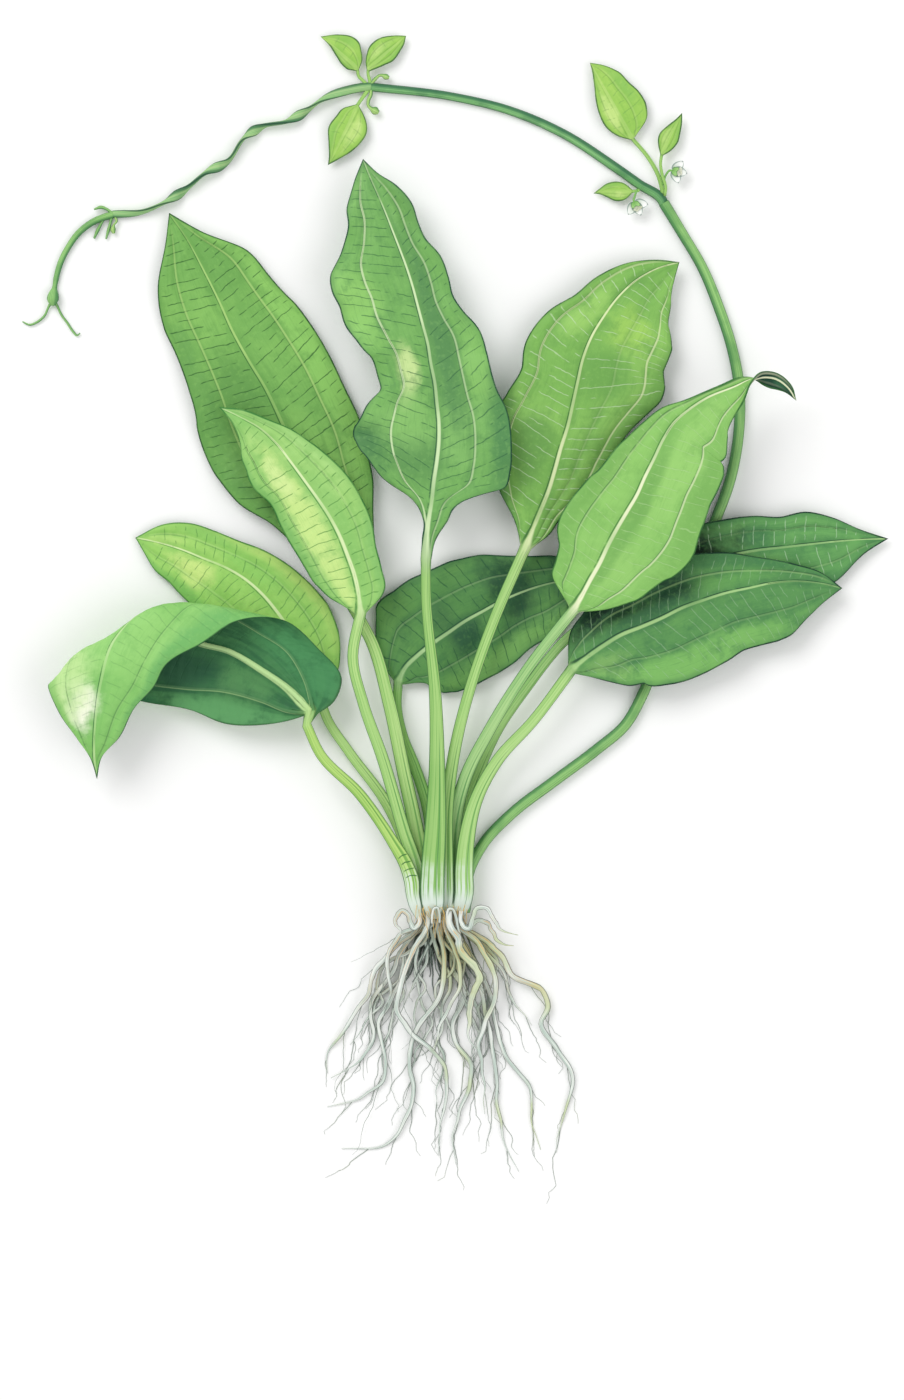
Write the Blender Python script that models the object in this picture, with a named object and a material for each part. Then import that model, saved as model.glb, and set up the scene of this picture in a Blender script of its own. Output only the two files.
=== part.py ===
"""Amazon sword plant, bare-rooted and laid down: one solid for each grown piece.

The plant lies on the plane z = 0 with its leaves towards +Y and its roots towards -Y. The
origin is on that plane, under the middle of the crown. The tables are in millimetres.
"""
import math

import bmesh
import bpy
import numpy as np

MM = 0.001
GAP = 0.7  # between the crown and whatever grows out of it
CROWN_TOP = 4.0  # Y of the face that the stalks grow from
CROWN_BOTTOM = -8.0  # Y of the face that the roots grow from
CROWN_HALF_WIDTH = 16.5
CROWN_HALF_DEPTH = 13.5
CROWN_CENTRE_Z = 12.3
STALK_DEPTH = 0.58  # thickness of a leaf stalk, as a share of its width
STALK_MAX_DEPTH = 4.4
BLADE_EDGE_HALF = 0.35  # half thickness of a blade between its midrib and its margin
MIDRIB_TIP_HALF = 0.4
WIDE = 40.0  # half width at which a blade's margin has risen by WIDE times its cup
ACROSS = (1.0, 0.5, 0.0, -0.5, -1.0)  # the five lines of a leaf, left margin to right margin
STALK_RINGS = 7
BLADE_RINGS = 15

LEAF_GREEN = (0.15, 0.42, 0.08)
DARK_GREEN = (0.04, 0.22, 0.06)
LIGHT_GREEN = (0.32, 0.62, 0.12)
SCAPE_GREEN = (0.10, 0.33, 0.10)
CROWN_PALE = (0.62, 0.76, 0.66)
ROOT_PALE = (0.72, 0.76, 0.66)
FLOWER_WHITE = (0.90, 0.92, 0.88)

# One leaf: its stalk as (x, y, z, width) from the crown outwards, and its blade as
# (x, y, z, left half, right half, roll in degrees) from the base to the tip.
LEAVES = {
    "leaf_a": {
        "colour": LEAF_GREEN,
        "cup": -0.06,
        "stalk": [
            (-8.0, CROWN_TOP + GAP, 9.6, 8.5), (-8.5, 16, 9.6, 8.5), (-12, 38, 10.2, 7.5),
            (-18, 66, 11, 7), (-25.5, 101, 12, 6.5), (-34, 131, 12, 6),
        ],
        "blade": [
            (-42, 146.5, 11.5, 2.8, 2.8, 0), (-45.5, 159, 10.5, 7, 11, 0), (-51, 172, 10, 13, 19, 0),
            (-56.5, 186, 9, 17.5, 25, 0), (-62.5, 200, 8.5, 24, 31.5, 0),
            (-68.5, 214.5, 8.5, 35.5, 34.5, 0), (-74, 229.5, 8, 41, 36.5, 0),
            (-80.5, 244.5, 7.5, 42, 36, 0), (-87.5, 259, 7.5, 39.5, 36, 0), (-96, 273, 7, 34, 36, 0),
            (-104, 287.5, 6.5, 31, 34, 0), (-111, 303, 6, 31, 28.5, 0), (-118.5, 318, 5.5, 26, 23.5, 0),
            (-126.5, 333, 5, 14.5, 8.5, 0), (-136, 347, 4, 0, 0, 0),
        ],
    },
    "leaf_b": {
        "colour": LIGHT_GREEN,
        "cup": 0.06,
        "stalk": [
            (-11, CROWN_TOP + GAP, 15, 7), (-11.5, 16, 15, 7), (-18, 37, 15.5, 6.5),
            (-28.5, 73, 18, 6), (-38.5, 101.5, 20, 5.5), (-43.5, 123.5, 21, 5.5),
        ],
        "blade": [
            (-39.5, 146, 22, 2.8, 2.8, 0), (-40.5, 155, 22, 14, 13, 0), (-42.5, 164.5, 22, 19.5, 14, 0),
            (-46, 174.5, 22, 22, 15, 0), (-50, 184.5, 22, 23.5, 17.5, 0), (-55, 194, 21.5, 24, 18.5, 0),
            (-61, 203, 21, 23, 19, 0), (-67.5, 212, 20.5, 21, 17.5, 0), (-74.5, 221.5, 20, 23, 14.5, 0),
            (-81.5, 230.5, 19, 20.5, 10.5, 0), (-89.5, 238, 18.5, 16.5, 6, 0), (-100, 244, 17.5, 6, 4, 0),
            (-110.5, 249, 16, 0, 0, 0),
        ],
    },
    "leaf_c": {
        "colour": LEAF_GREEN,
        "rings": 20,
        "cup": 0.05,
        "stalk": [
            (-3.8, CROWN_TOP + GAP, 20.6, 12), (-3.6, 16, 20.6, 12), (-2.2, 40, 21.2, 10.8),
            (-1.5, 65, 22, 8.4), (-2.2, 102.5, 24, 6.3), (-7, 156, 26, 5),
        ],
        "blade": [
            (-7, 172.5, 26.5, 2.5, 2.5, 0), (-6.5, 182.5, 26.5, 2.5, 4.5, 0), (-5.5, 192, 26.5, 3, 9, 0),
            (-4, 202, 26, 11, 14, 0), (-3, 211.5, 26, 28, 33.5, 0), (-1.5, 221.5, 25.5, 38.5, 37, 0),
            (-0.5, 231.5, 25, 42.5, 36.5, 0), (-0.5, 241, 25, 42, 35, 0), (-1.5, 251, 24.5, 36.5, 31.5, 0),
            (-2.5, 260.5, 24.5, 28, 29, 0), (-4.5, 270.5, 24, 27.5, 28.5, 0), (-6, 280, 24, 30, 27, 0),
            (-8.5, 289.5, 23.5, 34, 22, 0), (-11, 299, 23, 37.5, 18.5, 0),
            (-13.5, 308.5, 22.5, 38, 18.5, 0), (-16.5, 318, 22, 39.5, 18, 0),
            (-20, 327.5, 21.5, 37, 14, 0), (-23.5, 336.5, 20.5, 27.5, 13.5, 0),
            (-27, 345.5, 19.5, 20.5, 14, 0), (-31, 355, 18.5, 17, 10.5, 0), (-35, 364, 17, 9, 4.5, 0),
            (-38.5, 373, 16, 0, 0, 0),
        ],
    },
    "leaf_d": {
        "colour": LEAF_GREEN,
        "cup": -0.05,
        "stalk": [
            (3, CROWN_TOP + GAP, 15, 7.5), (3, 16, 15, 7.5), (3.5, 49, 15.4, 6.5), (7, 75.5, 15.8, 6),
            (16, 111.5, 16, 5.5), (27, 142.5, 16, 5.5),
        ],
        "blade": [
            (43, 179.5, 15.5, 2.8, 2.8, 0), (46.5, 188, 15, 10, 8.5, 0), (50.5, 197.5, 15, 22, 11, 0),
            (54.5, 207.5, 14.5, 30.5, 17, 0), (57.5, 217.5, 14.5, 35, 22.5, 0),
            (60.5, 228.5, 14, 37.5, 25.5, 0), (64, 239.5, 14, 37, 28.5, 0),
            (66.5, 250.5, 13.5, 33, 35.5, 0), (69, 262, 13.5, 29, 43, 0), (71.5, 273, 13, 30, 43, 0),
            (76, 284.5, 12.5, 26, 40.5, 0), (82, 294.5, 12, 18.5, 39, 0), (89, 304, 11, 15, 36, 0),
            (98, 312.5, 10.5, 10.5, 28, 0), (108.5, 318.5, 9.5, 5, 19, 0), (120, 322, 8, 0, 0, 0),
        ],
    },
    "leaf_e": {
        "colour": LIGHT_GREEN,
        "cup": 0.05,
        "stalk": [
            (5.5, CROWN_TOP + GAP, 9.6, 8.5), (5.8, 16, 9.6, 8.5), (7, 40, 10, 7.5),
            (12.5, 63, 12.5, 6.5), (25, 88, 17, 6), (43, 117, 22, 5.5),
        ],
        "blade": [
            (67, 148, 26, 2.8, 2.8, 0), (71, 155, 27, 17, 15, 0), (75, 162.5, 27.5, 20, 23.5, 0),
            (79.5, 170.5, 28, 23, 29, 0), (83.5, 179, 28.5, 27.5, 35.5, 0), (88, 187.5, 29, 27.5, 39, 0),
            (93, 196, 29.5, 26, 39.5, 0), (98, 204.5, 30.5, 24, 36.5, 0), (102, 213.5, 31, 21, 35.5, 0),
            (106.5, 222.5, 31.5, 18.5, 35.5, 0), (111, 232, 31.5, 14, 34.5, 0),
            (116.5, 240.5, 32, 10, 30, 0), (124, 247, 32.5, 5.5, 30, 0), (132.5, 252.5, 33.5, 3.5, 22, -3),
            (147.5, 258.5, 34.5, 4, 10, -15), (155, 261.5, 35, 4.5, 7, -75),
            (161, 262.8, 34.5, 5.5, 4.5, -125), (167, 262, 33, 6, 3.5, -145), (173, 258, 31, 4, 2.5, -145),
            (177.5, 251.5, 27, 0, 0, -145),
        ],
    },
    "leaf_f": {
        "colour": DARK_GREEN,
        "cup": -0.05,
        "stalk": [
            (12, CROWN_TOP + GAP, 15, 9.4), (12, 16, 15, 9.4), (13, 31, 15, 8.5), (18, 52.5, 15, 6.8),
            (28.5, 72, 15.5, 6), (46.5, 92, 16.5, 5.5),
        ],
        "blade": [
            (66, 118, 17, 2.8, 2.8, 0), (73, 123.5, 17, 14, 14, 0), (81.5, 129.5, 17, 19, 24, 0),
            (90.5, 135, 16.5, 22, 27.5, 0), (100.5, 139, 16.5, 23.5, 31.5, 0),
            (111, 143.5, 16, 25.5, 34, 0), (121, 148.5, 16, 24.5, 34.5, 0), (132, 152.5, 15.5, 24, 33, 0),
            (143, 156, 14.5, 21, 30.5, 0), (154.5, 158.5, 14, 17.5, 29.5, 0),
            (166, 161, 13.5, 12.5, 29, 0), (178, 162, 12.5, 8.5, 25, 0), (190, 161, 11.5, 5.5, 14, 0),
            (201.5, 158.5, 10, 0, 0, 0),
        ],
    },
    "leaf_g": {
        "colour": DARK_GREEN,
        "cup": -0.03,
        "stalk": [
            (5, CROWN_TOP + GAP, 4.2, 7.5), (5, 16, 4.2, 7), (11.5, 45, 4.6, 6), (19.5, 67, 5.2, 5.5),
            (28.5, 86.5, 6, 5), (43, 108, 7.5, 5), (65, 134.5, 9, 5),
        ],
        "blade": [
            (82, 146.5, 10, 2.5, 2.5, 0), (90.5, 152, 10, 10, 11, 0), (100.5, 157.5, 10, 12, 20.5, 0),
            (111.5, 162, 10, 14.5, 24, 0), (123, 166.5, 9.5, 17.5, 26.5, 0), (134.5, 171, 9, 20, 27.5, 0),
            (146.5, 175, 9, 18.5, 28.5, 0), (159, 177.5, 8.5, 17.5, 28.5, 0), (172, 179, 8, 15.5, 27.5, 0),
            (185, 180.5, 7.5, 16.5, 24, 0), (198.5, 182, 6.5, 12, 19, 0), (211.5, 183, 5, 5, 8, 0),
            (225, 183.5, 4, 0, 0, 0),
        ],
    },
    "leaf_h": {
        "colour": DARK_GREEN,
        "cup": 0.02,
        "stalk": [
            (-4, CROWN_TOP + GAP, 4.2, 6.5), (-4, 16, 4.2, 6.5), (-6, 47.5, 4.2, 6), (-13, 70, 4.2, 5.5),
            (-18.5, 84, 4.2, 5), (-21.5, 100, 4.2, 4.5),
        ],
        "blade": [
            (-21, 111.5, 4.2, 2.4, 2.4, 0), (-17.5, 118.5, 4.5, 18, 16, 0), (-11, 125, 4.5, 32, 25, 0),
            (-3.5, 131, 4.5, 33, 28.5, 0), (4.5, 136.5, 5, 33, 30, 0), (12.5, 142, 5, 31, 31, 0),
            (21.5, 147, 5, 29.5, 30.5, 0), (30.5, 152, 5, 26, 28.5, 0), (39.5, 156, 4.5, 20.5, 27, 0),
            (49.5, 159.5, 4.5, 16, 26, 0), (60, 162, 4, 13, 20, 0), (70.5, 163, 3.5, 8, 12, 0),
            (81, 164, 3, 0, 0, 0),
        ],
    },
    "leaf_i": {
        "colour": LIGHT_GREEN,
        "cup": -0.04,
        "stalk": [
            (-12, CROWN_TOP + GAP, 4.2, 6.5), (-13, 16, 4.2, 6.5), (-19, 35, 4.4, 6), (-27, 51, 4.6, 5.5),
            (-46, 77, 5, 5), (-57, 94, 5.6, 4.8),
        ],
        "blade": [
            (-59, 99.5, 6, 2.4, 2.4, 0), (-61.5, 108.5, 6, 14, 8.5, 0), (-64.5, 118.5, 6, 22, 15.5, 0),
            (-69, 128, 6, 27, 20.5, 0), (-75, 137, 6, 28.5, 23, 0), (-81.5, 146.5, 6, 30.5, 22, 0),
            (-89, 155.5, 6, 31, 20, 0), (-97.5, 163, 5.5, 30, 17.5, 0), (-107.5, 169, 5.5, 28, 15, 0),
            (-118.5, 173.5, 5, 23, 15, 0), (-129.5, 178, 4.5, 18, 14, 0), (-141, 181.5, 4, 13, 9.5, 0),
            (-153, 184, 3.5, 0, 0, 0),
        ],
    },
}

# The leaf that folds over itself: each row of its blade runs from one margin to the other.
FOLDED_STALK = [
    (-13.5, CROWN_TOP + GAP, 20.4, 6.8), (-14.1, 12, 20.4, 7.8), (-17.2, 21, 20.5, 7),
    (-22.8, 30.5, 20.6, 6),
    (-40, 55.5, 21, 5.5), (-60, 76, 21, 5), (-66.5, 90, 20.8, 4.8),
]
FOLDED_BLADE = [
    [(-68, 94.5, 20.5), (-67, 96, 20.5), (-65, 97.5, 20.5), (-63, 97, 20.5), (-61, 95.5, 20.5)],
    [(-72.5, 93, 19.5), (-76, 97, 19.5), (-76, 108.5, 19), (-68, 113.5, 19.5), (-53, 101.5, 20.5)],
    [(-89, 90, 17), (-89, 102, 17.5), (-89, 117.5, 17.5), (-76, 126.5, 18.5), (-49, 112.5, 20)],
    [(-107, 90.5, 14.5), (-107.5, 107, 15.5), (-105, 127, 16), (-90, 136, 18.5), (-61, 128.5, 21)],
    [(-125, 97.5, 13.5), (-127.5, 108.5, 14), (-122.5, 132.5, 16), (-106, 145, 20.5), (-77, 142, 25)],
    [(-148, 101.5, 13.5), (-152.5, 112.5, 14), (-135, 144, 19.5), (-121.5, 150, 26), (-101, 141.5, 30.5)],
    [(-171, 107.5, 14.5), (-170, 120, 17), (-145, 146.5, 27), (-136, 137.5, 31), (-117.5, 131, 32)],
    [(-190, 109, 18), (-182, 124.5, 25), (-162, 132, 31), (-146, 122.5, 32), (-137, 119, 31)],
    [(-195, 110.5, 24), (-185.5, 114, 29), (-168.5, 111.5, 32), (-152.5, 109.5, 31), (-142, 109.5, 29)],
    [(-190, 96.5, 26), (-182.5, 96.5, 29), (-171, 95, 31), (-160, 98, 30), (-152, 98.5, 28)],
    [(-181, 83.5, 26), (-177, 82, 27), (-172, 80, 28), (-166.5, 81, 27.5), (-159.5, 84, 26.5)],
    [(-174.5, 74, 25), (-173.3, 73, 25), (-172, 72, 25), (-170, 73, 25), (-168.5, 74, 25)],
    [(-171, 63, 23), (-171, 63, 23), (-171, 63, 23), (-171, 63, 23), (-171, 63, 23)],
]

# Small leaves of the two upper whorls, in the same two tables as the large leaves.
PLANTLETS = {
    "whorl1_leaf_large": (
        [(111.6, 358.2, 3.4, 2.2), (109.6, 365.6, 3.6, 2.1), (104.6, 374.6, 3.8, 2)],
        [
            (96.6, 384.1, 4.2, 1, 1, 0), (94.6, 387.5, 4.5, 5, 9.5, 0), (91.5, 393, 5.2, 8.5, 14, 0),
            (87.5, 400.3, 5.5, 8.7, 14.5, 0), (84, 406.5, 5.4, 6.8, 12.3, 0),
            (80.3, 413, 5, 3.5, 10.3, 0), (77.3, 418.6, 4.7, 1.2, 5.2, 0), (75.2, 422.3, 4.4, 0, 0, 0),
        ],
    ),
    "whorl1_leaf_small": (
        [(113.2, 359.4, 5.6, 1.5), (111.4, 366, 5.8, 1.6), (110.6, 371.5, 5.6, 1.5)],
        [
            (111.2, 376, 5, 0.8, 0.8, 0), (112.5, 378.8, 5, 3.2, 3, 0), (114.7, 384, 5.2, 5.3, 5, 0),
            (117, 388.5, 5, 3.8, 4, 0), (119.4, 393, 4.8, 1.6, 2.3, 0), (121.5, 397.2, 4.2, 0, 0, 0),
        ],
    ),
    "whorl1_leaf_left": (
        [(99.4, 358.1, 3.2, 1.4), (98, 358, 3.2, 1.4)],
        [
            (96.4, 357.9, 3.2, 0.8, 0.8, 0), (93.5, 357.8, 3.4, 3.7, 3.5, 0), (89, 357.8, 3.8, 5, 4.9, 0),
            (84, 357.8, 3.5, 3.2, 4, 0), (80.5, 357.4, 3.2, 1.2, 2, 0), (77, 356.8, 3, 0, 0, 0),
        ],
    ),
    "whorl2_leaf_upper_left": (
        [(-38.8, 413.6, 3.2, 1.7), (-40.8, 415.6, 3.4, 1.6)],
        [
            (-41.4, 418.6, 3.8, 0.8, 0.8, 0), (-43, 420.8, 4.2, 3.3, 5.2, 0),
            (-46.5, 424, 4.8, 3.9, 9.7, 0), (-50.5, 427.6, 4.8, 2.6, 10.2, 0),
            (-55, 431.5, 4.4, 0.8, 6.5, 0), (-60, 435.5, 4, 0, 0, 0),
        ],
    ),
    "whorl2_leaf_upper_right": (
        [(-35.4, 413.8, 3.2, 1.7), (-36, 416, 3.4, 1.6)],
        [
            (-36.2, 418.4, 3.8, 0.8, 0.8, 0), (-34.5, 420.3, 4, 4, 2, 0), (-31, 423.5, 4.4, 7.6, 3.7, 0),
            (-27, 427.2, 4.6, 8.3, 5.3, 0), (-22.5, 431, 4.2, 6.2, 3.9, 0),
            (-19.5, 433.7, 3.8, 3.2, 2.4, 0), (-17, 435.9, 3.6, 0, 0, 0),
        ],
    ),
    "whorl2_leaf_lower": (
        [(-38, 406.2, 3.2, 1.9), (-39.8, 403.6, 3.4, 1.8)],
        [
            (-41.5, 401, 3.8, 0.9, 0.9, 0), (-43, 397.5, 4.2, 5.6, 5.6, 0), (-45.5, 392, 4.8, 9.8, 7.6, 0),
            (-48.5, 386, 5, 9.5, 8.4, 0), (-51.5, 380, 4.6, 6.8, 5, 0), (-54, 375, 4, 3, 2, 0),
            (-56.3, 371, 3.4, 0, 0, 0),
        ],
    ),
}

# The flower stalk lies on the surface; each table is (x, y, z, radius).
SCAPE_LOWER = [
    (13.5, CROWN_TOP + GAP, 4, 2.8), (14, 14, 3.6, 2.8), (21.5, 30, 3, 2.75), (35.5, 45, 2.8, 2.75),
    (57, 61.5, 2.75, 2.75), (78.5, 77.5, 2.75, 2.75), (93, 90, 2.75, 2.75), (102, 106, 2.75, 2.75),
    (110, 128, 2.75, 2.75), (124, 157, 2.75, 2.75), (138, 192, 2.75, 2.75), (145.5, 212.5, 2.75, 2.75),
    (150, 237.5, 2.75, 2.75), (150, 261, 2.75, 2.75), (146.5, 279.5, 2.7, 2.7), (140, 299.5, 2.7, 2.7),
    (131.5, 320, 2.6, 2.6), (121.5, 337, 2.6, 2.6), (112.4, 352, 2.8, 2.8),
]
SCAPE_MIDDLE = [
    (111.8, 353, 2.5, 2.5), (100, 361.5, 2.4, 2.4), (86.5, 371, 2.4, 2.4), (63.5, 386, 2.3, 2.3),
    (35, 398.5, 2.2, 2.2), (6, 405.5, 2.1, 2.1), (-34.6, 410.4, 2.2, 2.2),
]
# The twisted part is a strap: (x, y, z, half width, half thickness, roll in degrees).
SCAPE_TWISTED = [
    (-35.2, 410.5, 2.4, 2.2, 1.8, 0), (-47, 408.5, 2.6, 2.3, 1.2, 0), (-60, 403.5, 3, 2.6, 1, 70),
    (-66, 399, 3, 2.6, 1, 110), (-77, 393, 3, 2.6, 1, 250), (-89, 390.5, 3, 2.6, 1, 290),
    (-98, 385, 3, 2.6, 1, 430), (-106.5, 373, 3, 2.6, 1, 470), (-118, 367, 3, 2.6, 1, 610),
    (-127, 359.5, 3, 2.6, 1, 650), (-138, 352.5, 3, 2.5, 1, 790), (-150, 347.5, 2.6, 2.2, 1.1, 830),
    (-164.3, 346.4, 2.2, 1.9, 1.5, 900),
]
SCAPE_TIP = [
    (-165.2, 346, 1.8, 1.8), (-174, 342.8, 1.7, 1.7), (-181.8, 336.8, 1.7, 1.6),
    (-187, 329.5, 1.6, 1.5), (-190.7, 322, 1.6, 1.5), (-192.8, 314.5, 1.5, 1.4),
    (-193.7, 309.2, 1.5, 1.4), (-194.1, 306, 3, 2.7), (-194.4, 303.6, 3.2, 3), (-194.6, 301, 2, 1.3),
]

# Flowers, buds, bracts and the two thin ends: short stems of changing radius.
SMALL_STEMS = {
    "whorl1_flower_right": (
        FLOWER_WHITE,
        [
            (113.6, 366.4, 4.4, 0.6), (115.2, 368.2, 4.6, 0.6), (117, 368, 4.8, 1.2),
            (118.8, 367.5, 4.8, 3.6), (121.4, 367, 4.8, 4.2), (124, 366.6, 4.8, 2.2),
        ],
    ),
    "whorl1_flower_left": (
        FLOWER_WHITE,
        [
            (97.6, 355, 4, 0.6), (97.2, 353.4, 4.2, 0.6), (97.6, 352, 4.4, 1.2), (98.4, 350.4, 4.4, 3.2),
            (99.6, 348.2, 4.4, 3.8), (100.6, 346.2, 4.4, 2),
        ],
    ),
    "whorl2_bud_right": (
        LIGHT_GREEN,
        [
            (-32.2, 414.6, 3.2, 0.9), (-30.4, 416, 3.3, 0.7), (-29, 416.1, 3.2, 0.8),
            (-27.2, 415.4, 3.2, 1.5), (-25.6, 414.8, 3.2, 0.8),
        ],
    ),
    "whorl2_bud_lower": (
        LIGHT_GREEN,
        [
            (-34.8, 406.2, 3, 0.9), (-36, 403.4, 3.2, 0.9), (-36, 400.9, 3.2, 0.8), (-34.6, 399.4, 3.2, 1),
            (-32.6, 398.3, 3.2, 2.1), (-30.8, 397.4, 3.2, 0.9),
        ],
    ),
    "whorl3_bud": (
        LIGHT_GREEN,
        [
            (-162.4, 343, 2.4, 0.6), (-163.8, 341, 2.4, 0.6), (-164.2, 338.8, 2.4, 1.3),
            (-163.8, 336.8, 2.4, 0.7),
        ],
    ),
    "whorl3_bract_left": (
        SCAPE_GREEN,
        [
            (-167.4, 349, 2.4, 0.7), (-170, 349.9, 2.4, 0.9), (-173.8, 348.9, 2.2, 0.4),
        ],
    ),
    "whorl3_bract_outer": (
        SCAPE_GREEN,
        [
            (-170.4, 341.4, 1.6, 0.7), (-172, 338.4, 1.6, 0.9), (-173.8, 334.3, 1.4, 0.5),
        ],
    ),
    "whorl3_bract_inner": (
        SCAPE_GREEN,
        [
            (-165.6, 342.2, 1.6, 0.7), (-166.6, 338.4, 1.6, 0.8), (-167.8, 334, 1.4, 0.4),
        ],
    ),
    "end_bract_left": (
        SCAPE_GREEN,
        [
            (-196.9, 299.4, 1.6, 0.6), (-198.4, 296, 1.4, 0.6), (-202, 292.6, 1.2, 0.6),
            (-206.4, 291, 1.2, 0.5), (-209.8, 292.6, 1.2, 0.3),
        ],
    ),
    "end_bract_right": (
        SCAPE_GREEN,
        [
            (-191.8, 299.4, 1.6, 0.6), (-190.2, 296, 1.4, 0.6), (-187.4, 292.2, 1.2, 0.6),
            (-184, 287.2, 1.2, 0.6), (-182.4, 285.6, 1.2, 0.5), (-180.8, 286.8, 1.2, 0.3),
        ],
    ),
}

# Main roots: radius at the crown, radius at the tip, and the route as (x, y, z).
ROOT_START = CROWN_BOTTOM - GAP
ROOT_STRAIGHT = 2.0  # length that a root runs square to the crown before it bends
ROOTS = [
    (1.1, 0.7, [(-9.5, ROOT_START, 15), (-19, -15, 14), (-25, -23, 11), (-26, -36.5, 8), (-24, -44, 6),
                (-28.5, -53, 4)]),
    (1.2, 0.5, [(-10, ROOT_START, 11.5), (-21, -20, 9), (-30, -29, 7), (-38, -48, 4), (-44, -57, 2.5),
                (-50.5, -66.5, 1.6), (-56.5, -74, 1), (-57.5, -85, 0.8)]),
    (1.2, 0.5, [(-9, ROOT_START, 7.5), (-17, -20, 5), (-25.5, -36.5, 3.5), (-33.5, -48, 2.5),
                (-34.5, -57.5, 2), (-33.5, -66.5, 1.6), (-38, -76, 1.2), (-54.5, -87.5, 0.8)]),
    (1.1, 0.5, [(-6.5, ROOT_START, 4.5), (-14, -26, 3), (-23, -46, 2.4), (-30, -60, 2), (-29, -70, 1.8),
                (-27.5, -80.5, 1.6), (-30, -90, 1.4), (-38, -96.5, 1.2), (-56.5, -102, 0.8)]),
    (1.3, 0.5, [(-6, ROOT_START, 17), (-14, -24, 15), (-19.5, -40, 12), (-20.5, -55, 9), (-14, -64.5, 7),
                (-4.5, -73, 5.5), (2, -82, 4.5), (3.5, -92, 3.5), (1, -110, 2), (-0.5, -126.5, 1)]),
    (1.3, 0.5, [(-1.5, ROOT_START, 9), (1.5, -22, 7), (1.5, -38, 5), (-2.5, -50, 4), (-11, -61, 3),
                (-15, -71, 2.4), (-15.5, -82.5, 2), (-13, -92, 1.8), (-14.5, -101, 1.6), (-27.5, -121, 1.2),
                (-49, -123, 0.8)]),
    (1.1, 0.6, [(2, ROOT_START, 13), (7, -22, 11), (10.5, -40, 9), (3.5, -53, 7.5), (-0.5, -62, 7.2),
                (-3, -74, 7.5)]),
    (1.3, 0.5, [(2.5, ROOT_START, 5), (7, -26, 3.4), (12, -45, 2.6), (7, -59.5, 2.2), (8, -69, 2),
                (14, -79, 1.8), (15, -92, 1.6), (9, -104.5, 1.4), (6.5, -116, 1.2), (8, -131, 0.8)]),
    (1.9, 0.9, [(4.5, ROOT_START, 18), (8, -15, 17.5), (11, -24, 16), (18.5, -31, 14.5), (19.5, -38, 13),
                (16, -47, 11), (15, -57.5, 9.5), (15, -66.5, 8.5), (18, -73, 7.5)]),
    (1.4, 0.5, [(8, ROOT_START, 14), (18, -18, 12), (25, -30, 10), (27.5, -45, 8), (23, -59.5, 6),
                (20, -70, 5), (20.5, -79, 4), (22, -92, 2.6), (22, -105.5, 1.4)]),
    (1.2, 0.4, [(6.5, ROOT_START, 9.5), (15, -26, 7), (21, -45, 5), (24, -62, 3.4), (27, -80, 2.2),
                (28, -100, 1.6), (32, -119.5, 1.2), (39.5, -134.5, 0.8)]),
    (1.2, 0.4, [(7, ROOT_START, 5.5), (18, -28, 3.6), (27, -50, 2.4), (31.5, -74, 1.8), (39, -84, 1.5),
                (45, -92, 1.3), (46.5, -100, 1.2), (46, -110, 1.1), (50.5, -123.5, 0.8)]),
    (1.4, 0.4, [(10.5, ROOT_START, 11), (23, -18.5, 9), (31, -25.5, 7), (37, -36, 5.5), (45, -40, 4.5),
                (51.5, -43.5, 3.6), (54.5, -51.5, 3), (51.5, -60, 2.5), (58.5, -72.5, 2), (66, -84, 1.6),
                (63, -103.5, 1.2), (57.5, -125, 0.8)]),
    (1.0, 0.4, [(10.5, ROOT_START, 7.5), (22, -23, 5.5), (32, -34, 4), (35, -46, 3), (40, -53, 2),
                (46, -61, 1.2)]),
    (1.2, 0.5, [(10.5, ROOT_START, 18.5), (14.5, -11.5, 20.5), (16, -6, 21.5), (19, -1.2, 21.5),
                (23, -1.2, 21), (26.5, -6, 20), (29.5, -11, 19), (34, -13.5, 18), (39, -15, 17)]),
    (1.2, 0.5, [(10.8, ROOT_START, 14.8), (15.5, -11.5, 16.2), (19, -7.5, 16.8), (22.5, -8.5, 16.4),
                (26, -13, 15.5), (29.5, -18.5, 14), (33, -20, 13.5), (38, -20.5, 13)]),
    (1.2, 0.8, [(-10.5, ROOT_START, 18.5), (-13.5, -11.5, 19.5), (-15.5, -5.5, 20), (-18.5, -2.6, 20),
                (-21.3, -4.5, 19.5), (-22, -9, 18.5), (-20.5, -13, 17.5), (-17.5, -15.5, 16.5)]),
]


def green_material(name, colour):
    material = bpy.data.materials.new(name)
    material.use_nodes = True
    shader = material.node_tree.nodes["Principled BSDF"]
    shader.inputs["Base Color"].default_value = (*colour, 1.0)
    shader.inputs["Roughness"].default_value = 0.5
    shader.inputs["Metallic"].default_value = 0.0
    return material


def smooth_curve(rows, count):
    """Read `count` evenly spaced rows from a smooth curve through `rows`; x, y, z come first."""
    rows = np.array(rows, dtype=float)
    steps = np.linalg.norm(np.diff(rows[:, :3], axis=0), axis=1)
    knots = np.concatenate([[0.0], np.cumsum(steps)])
    slopes = np.gradient(rows, knots, axis=0)
    places = np.linspace(0.0, knots[-1], count)
    spans = np.clip(np.searchsorted(knots, places, side="right") - 1, 0, len(rows) - 2)
    lengths = (knots[spans + 1] - knots[spans])[:, None]
    t = (places - knots[spans])[:, None] / lengths
    start = (2 * t**3 - 3 * t**2 + 1) * rows[spans] + (t**3 - 2 * t**2 + t) * lengths * slopes[spans]
    end = (3 * t**2 - 2 * t**3) * rows[spans + 1] + (t**3 - t**2) * lengths * slopes[spans + 1]
    return start + end


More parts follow.
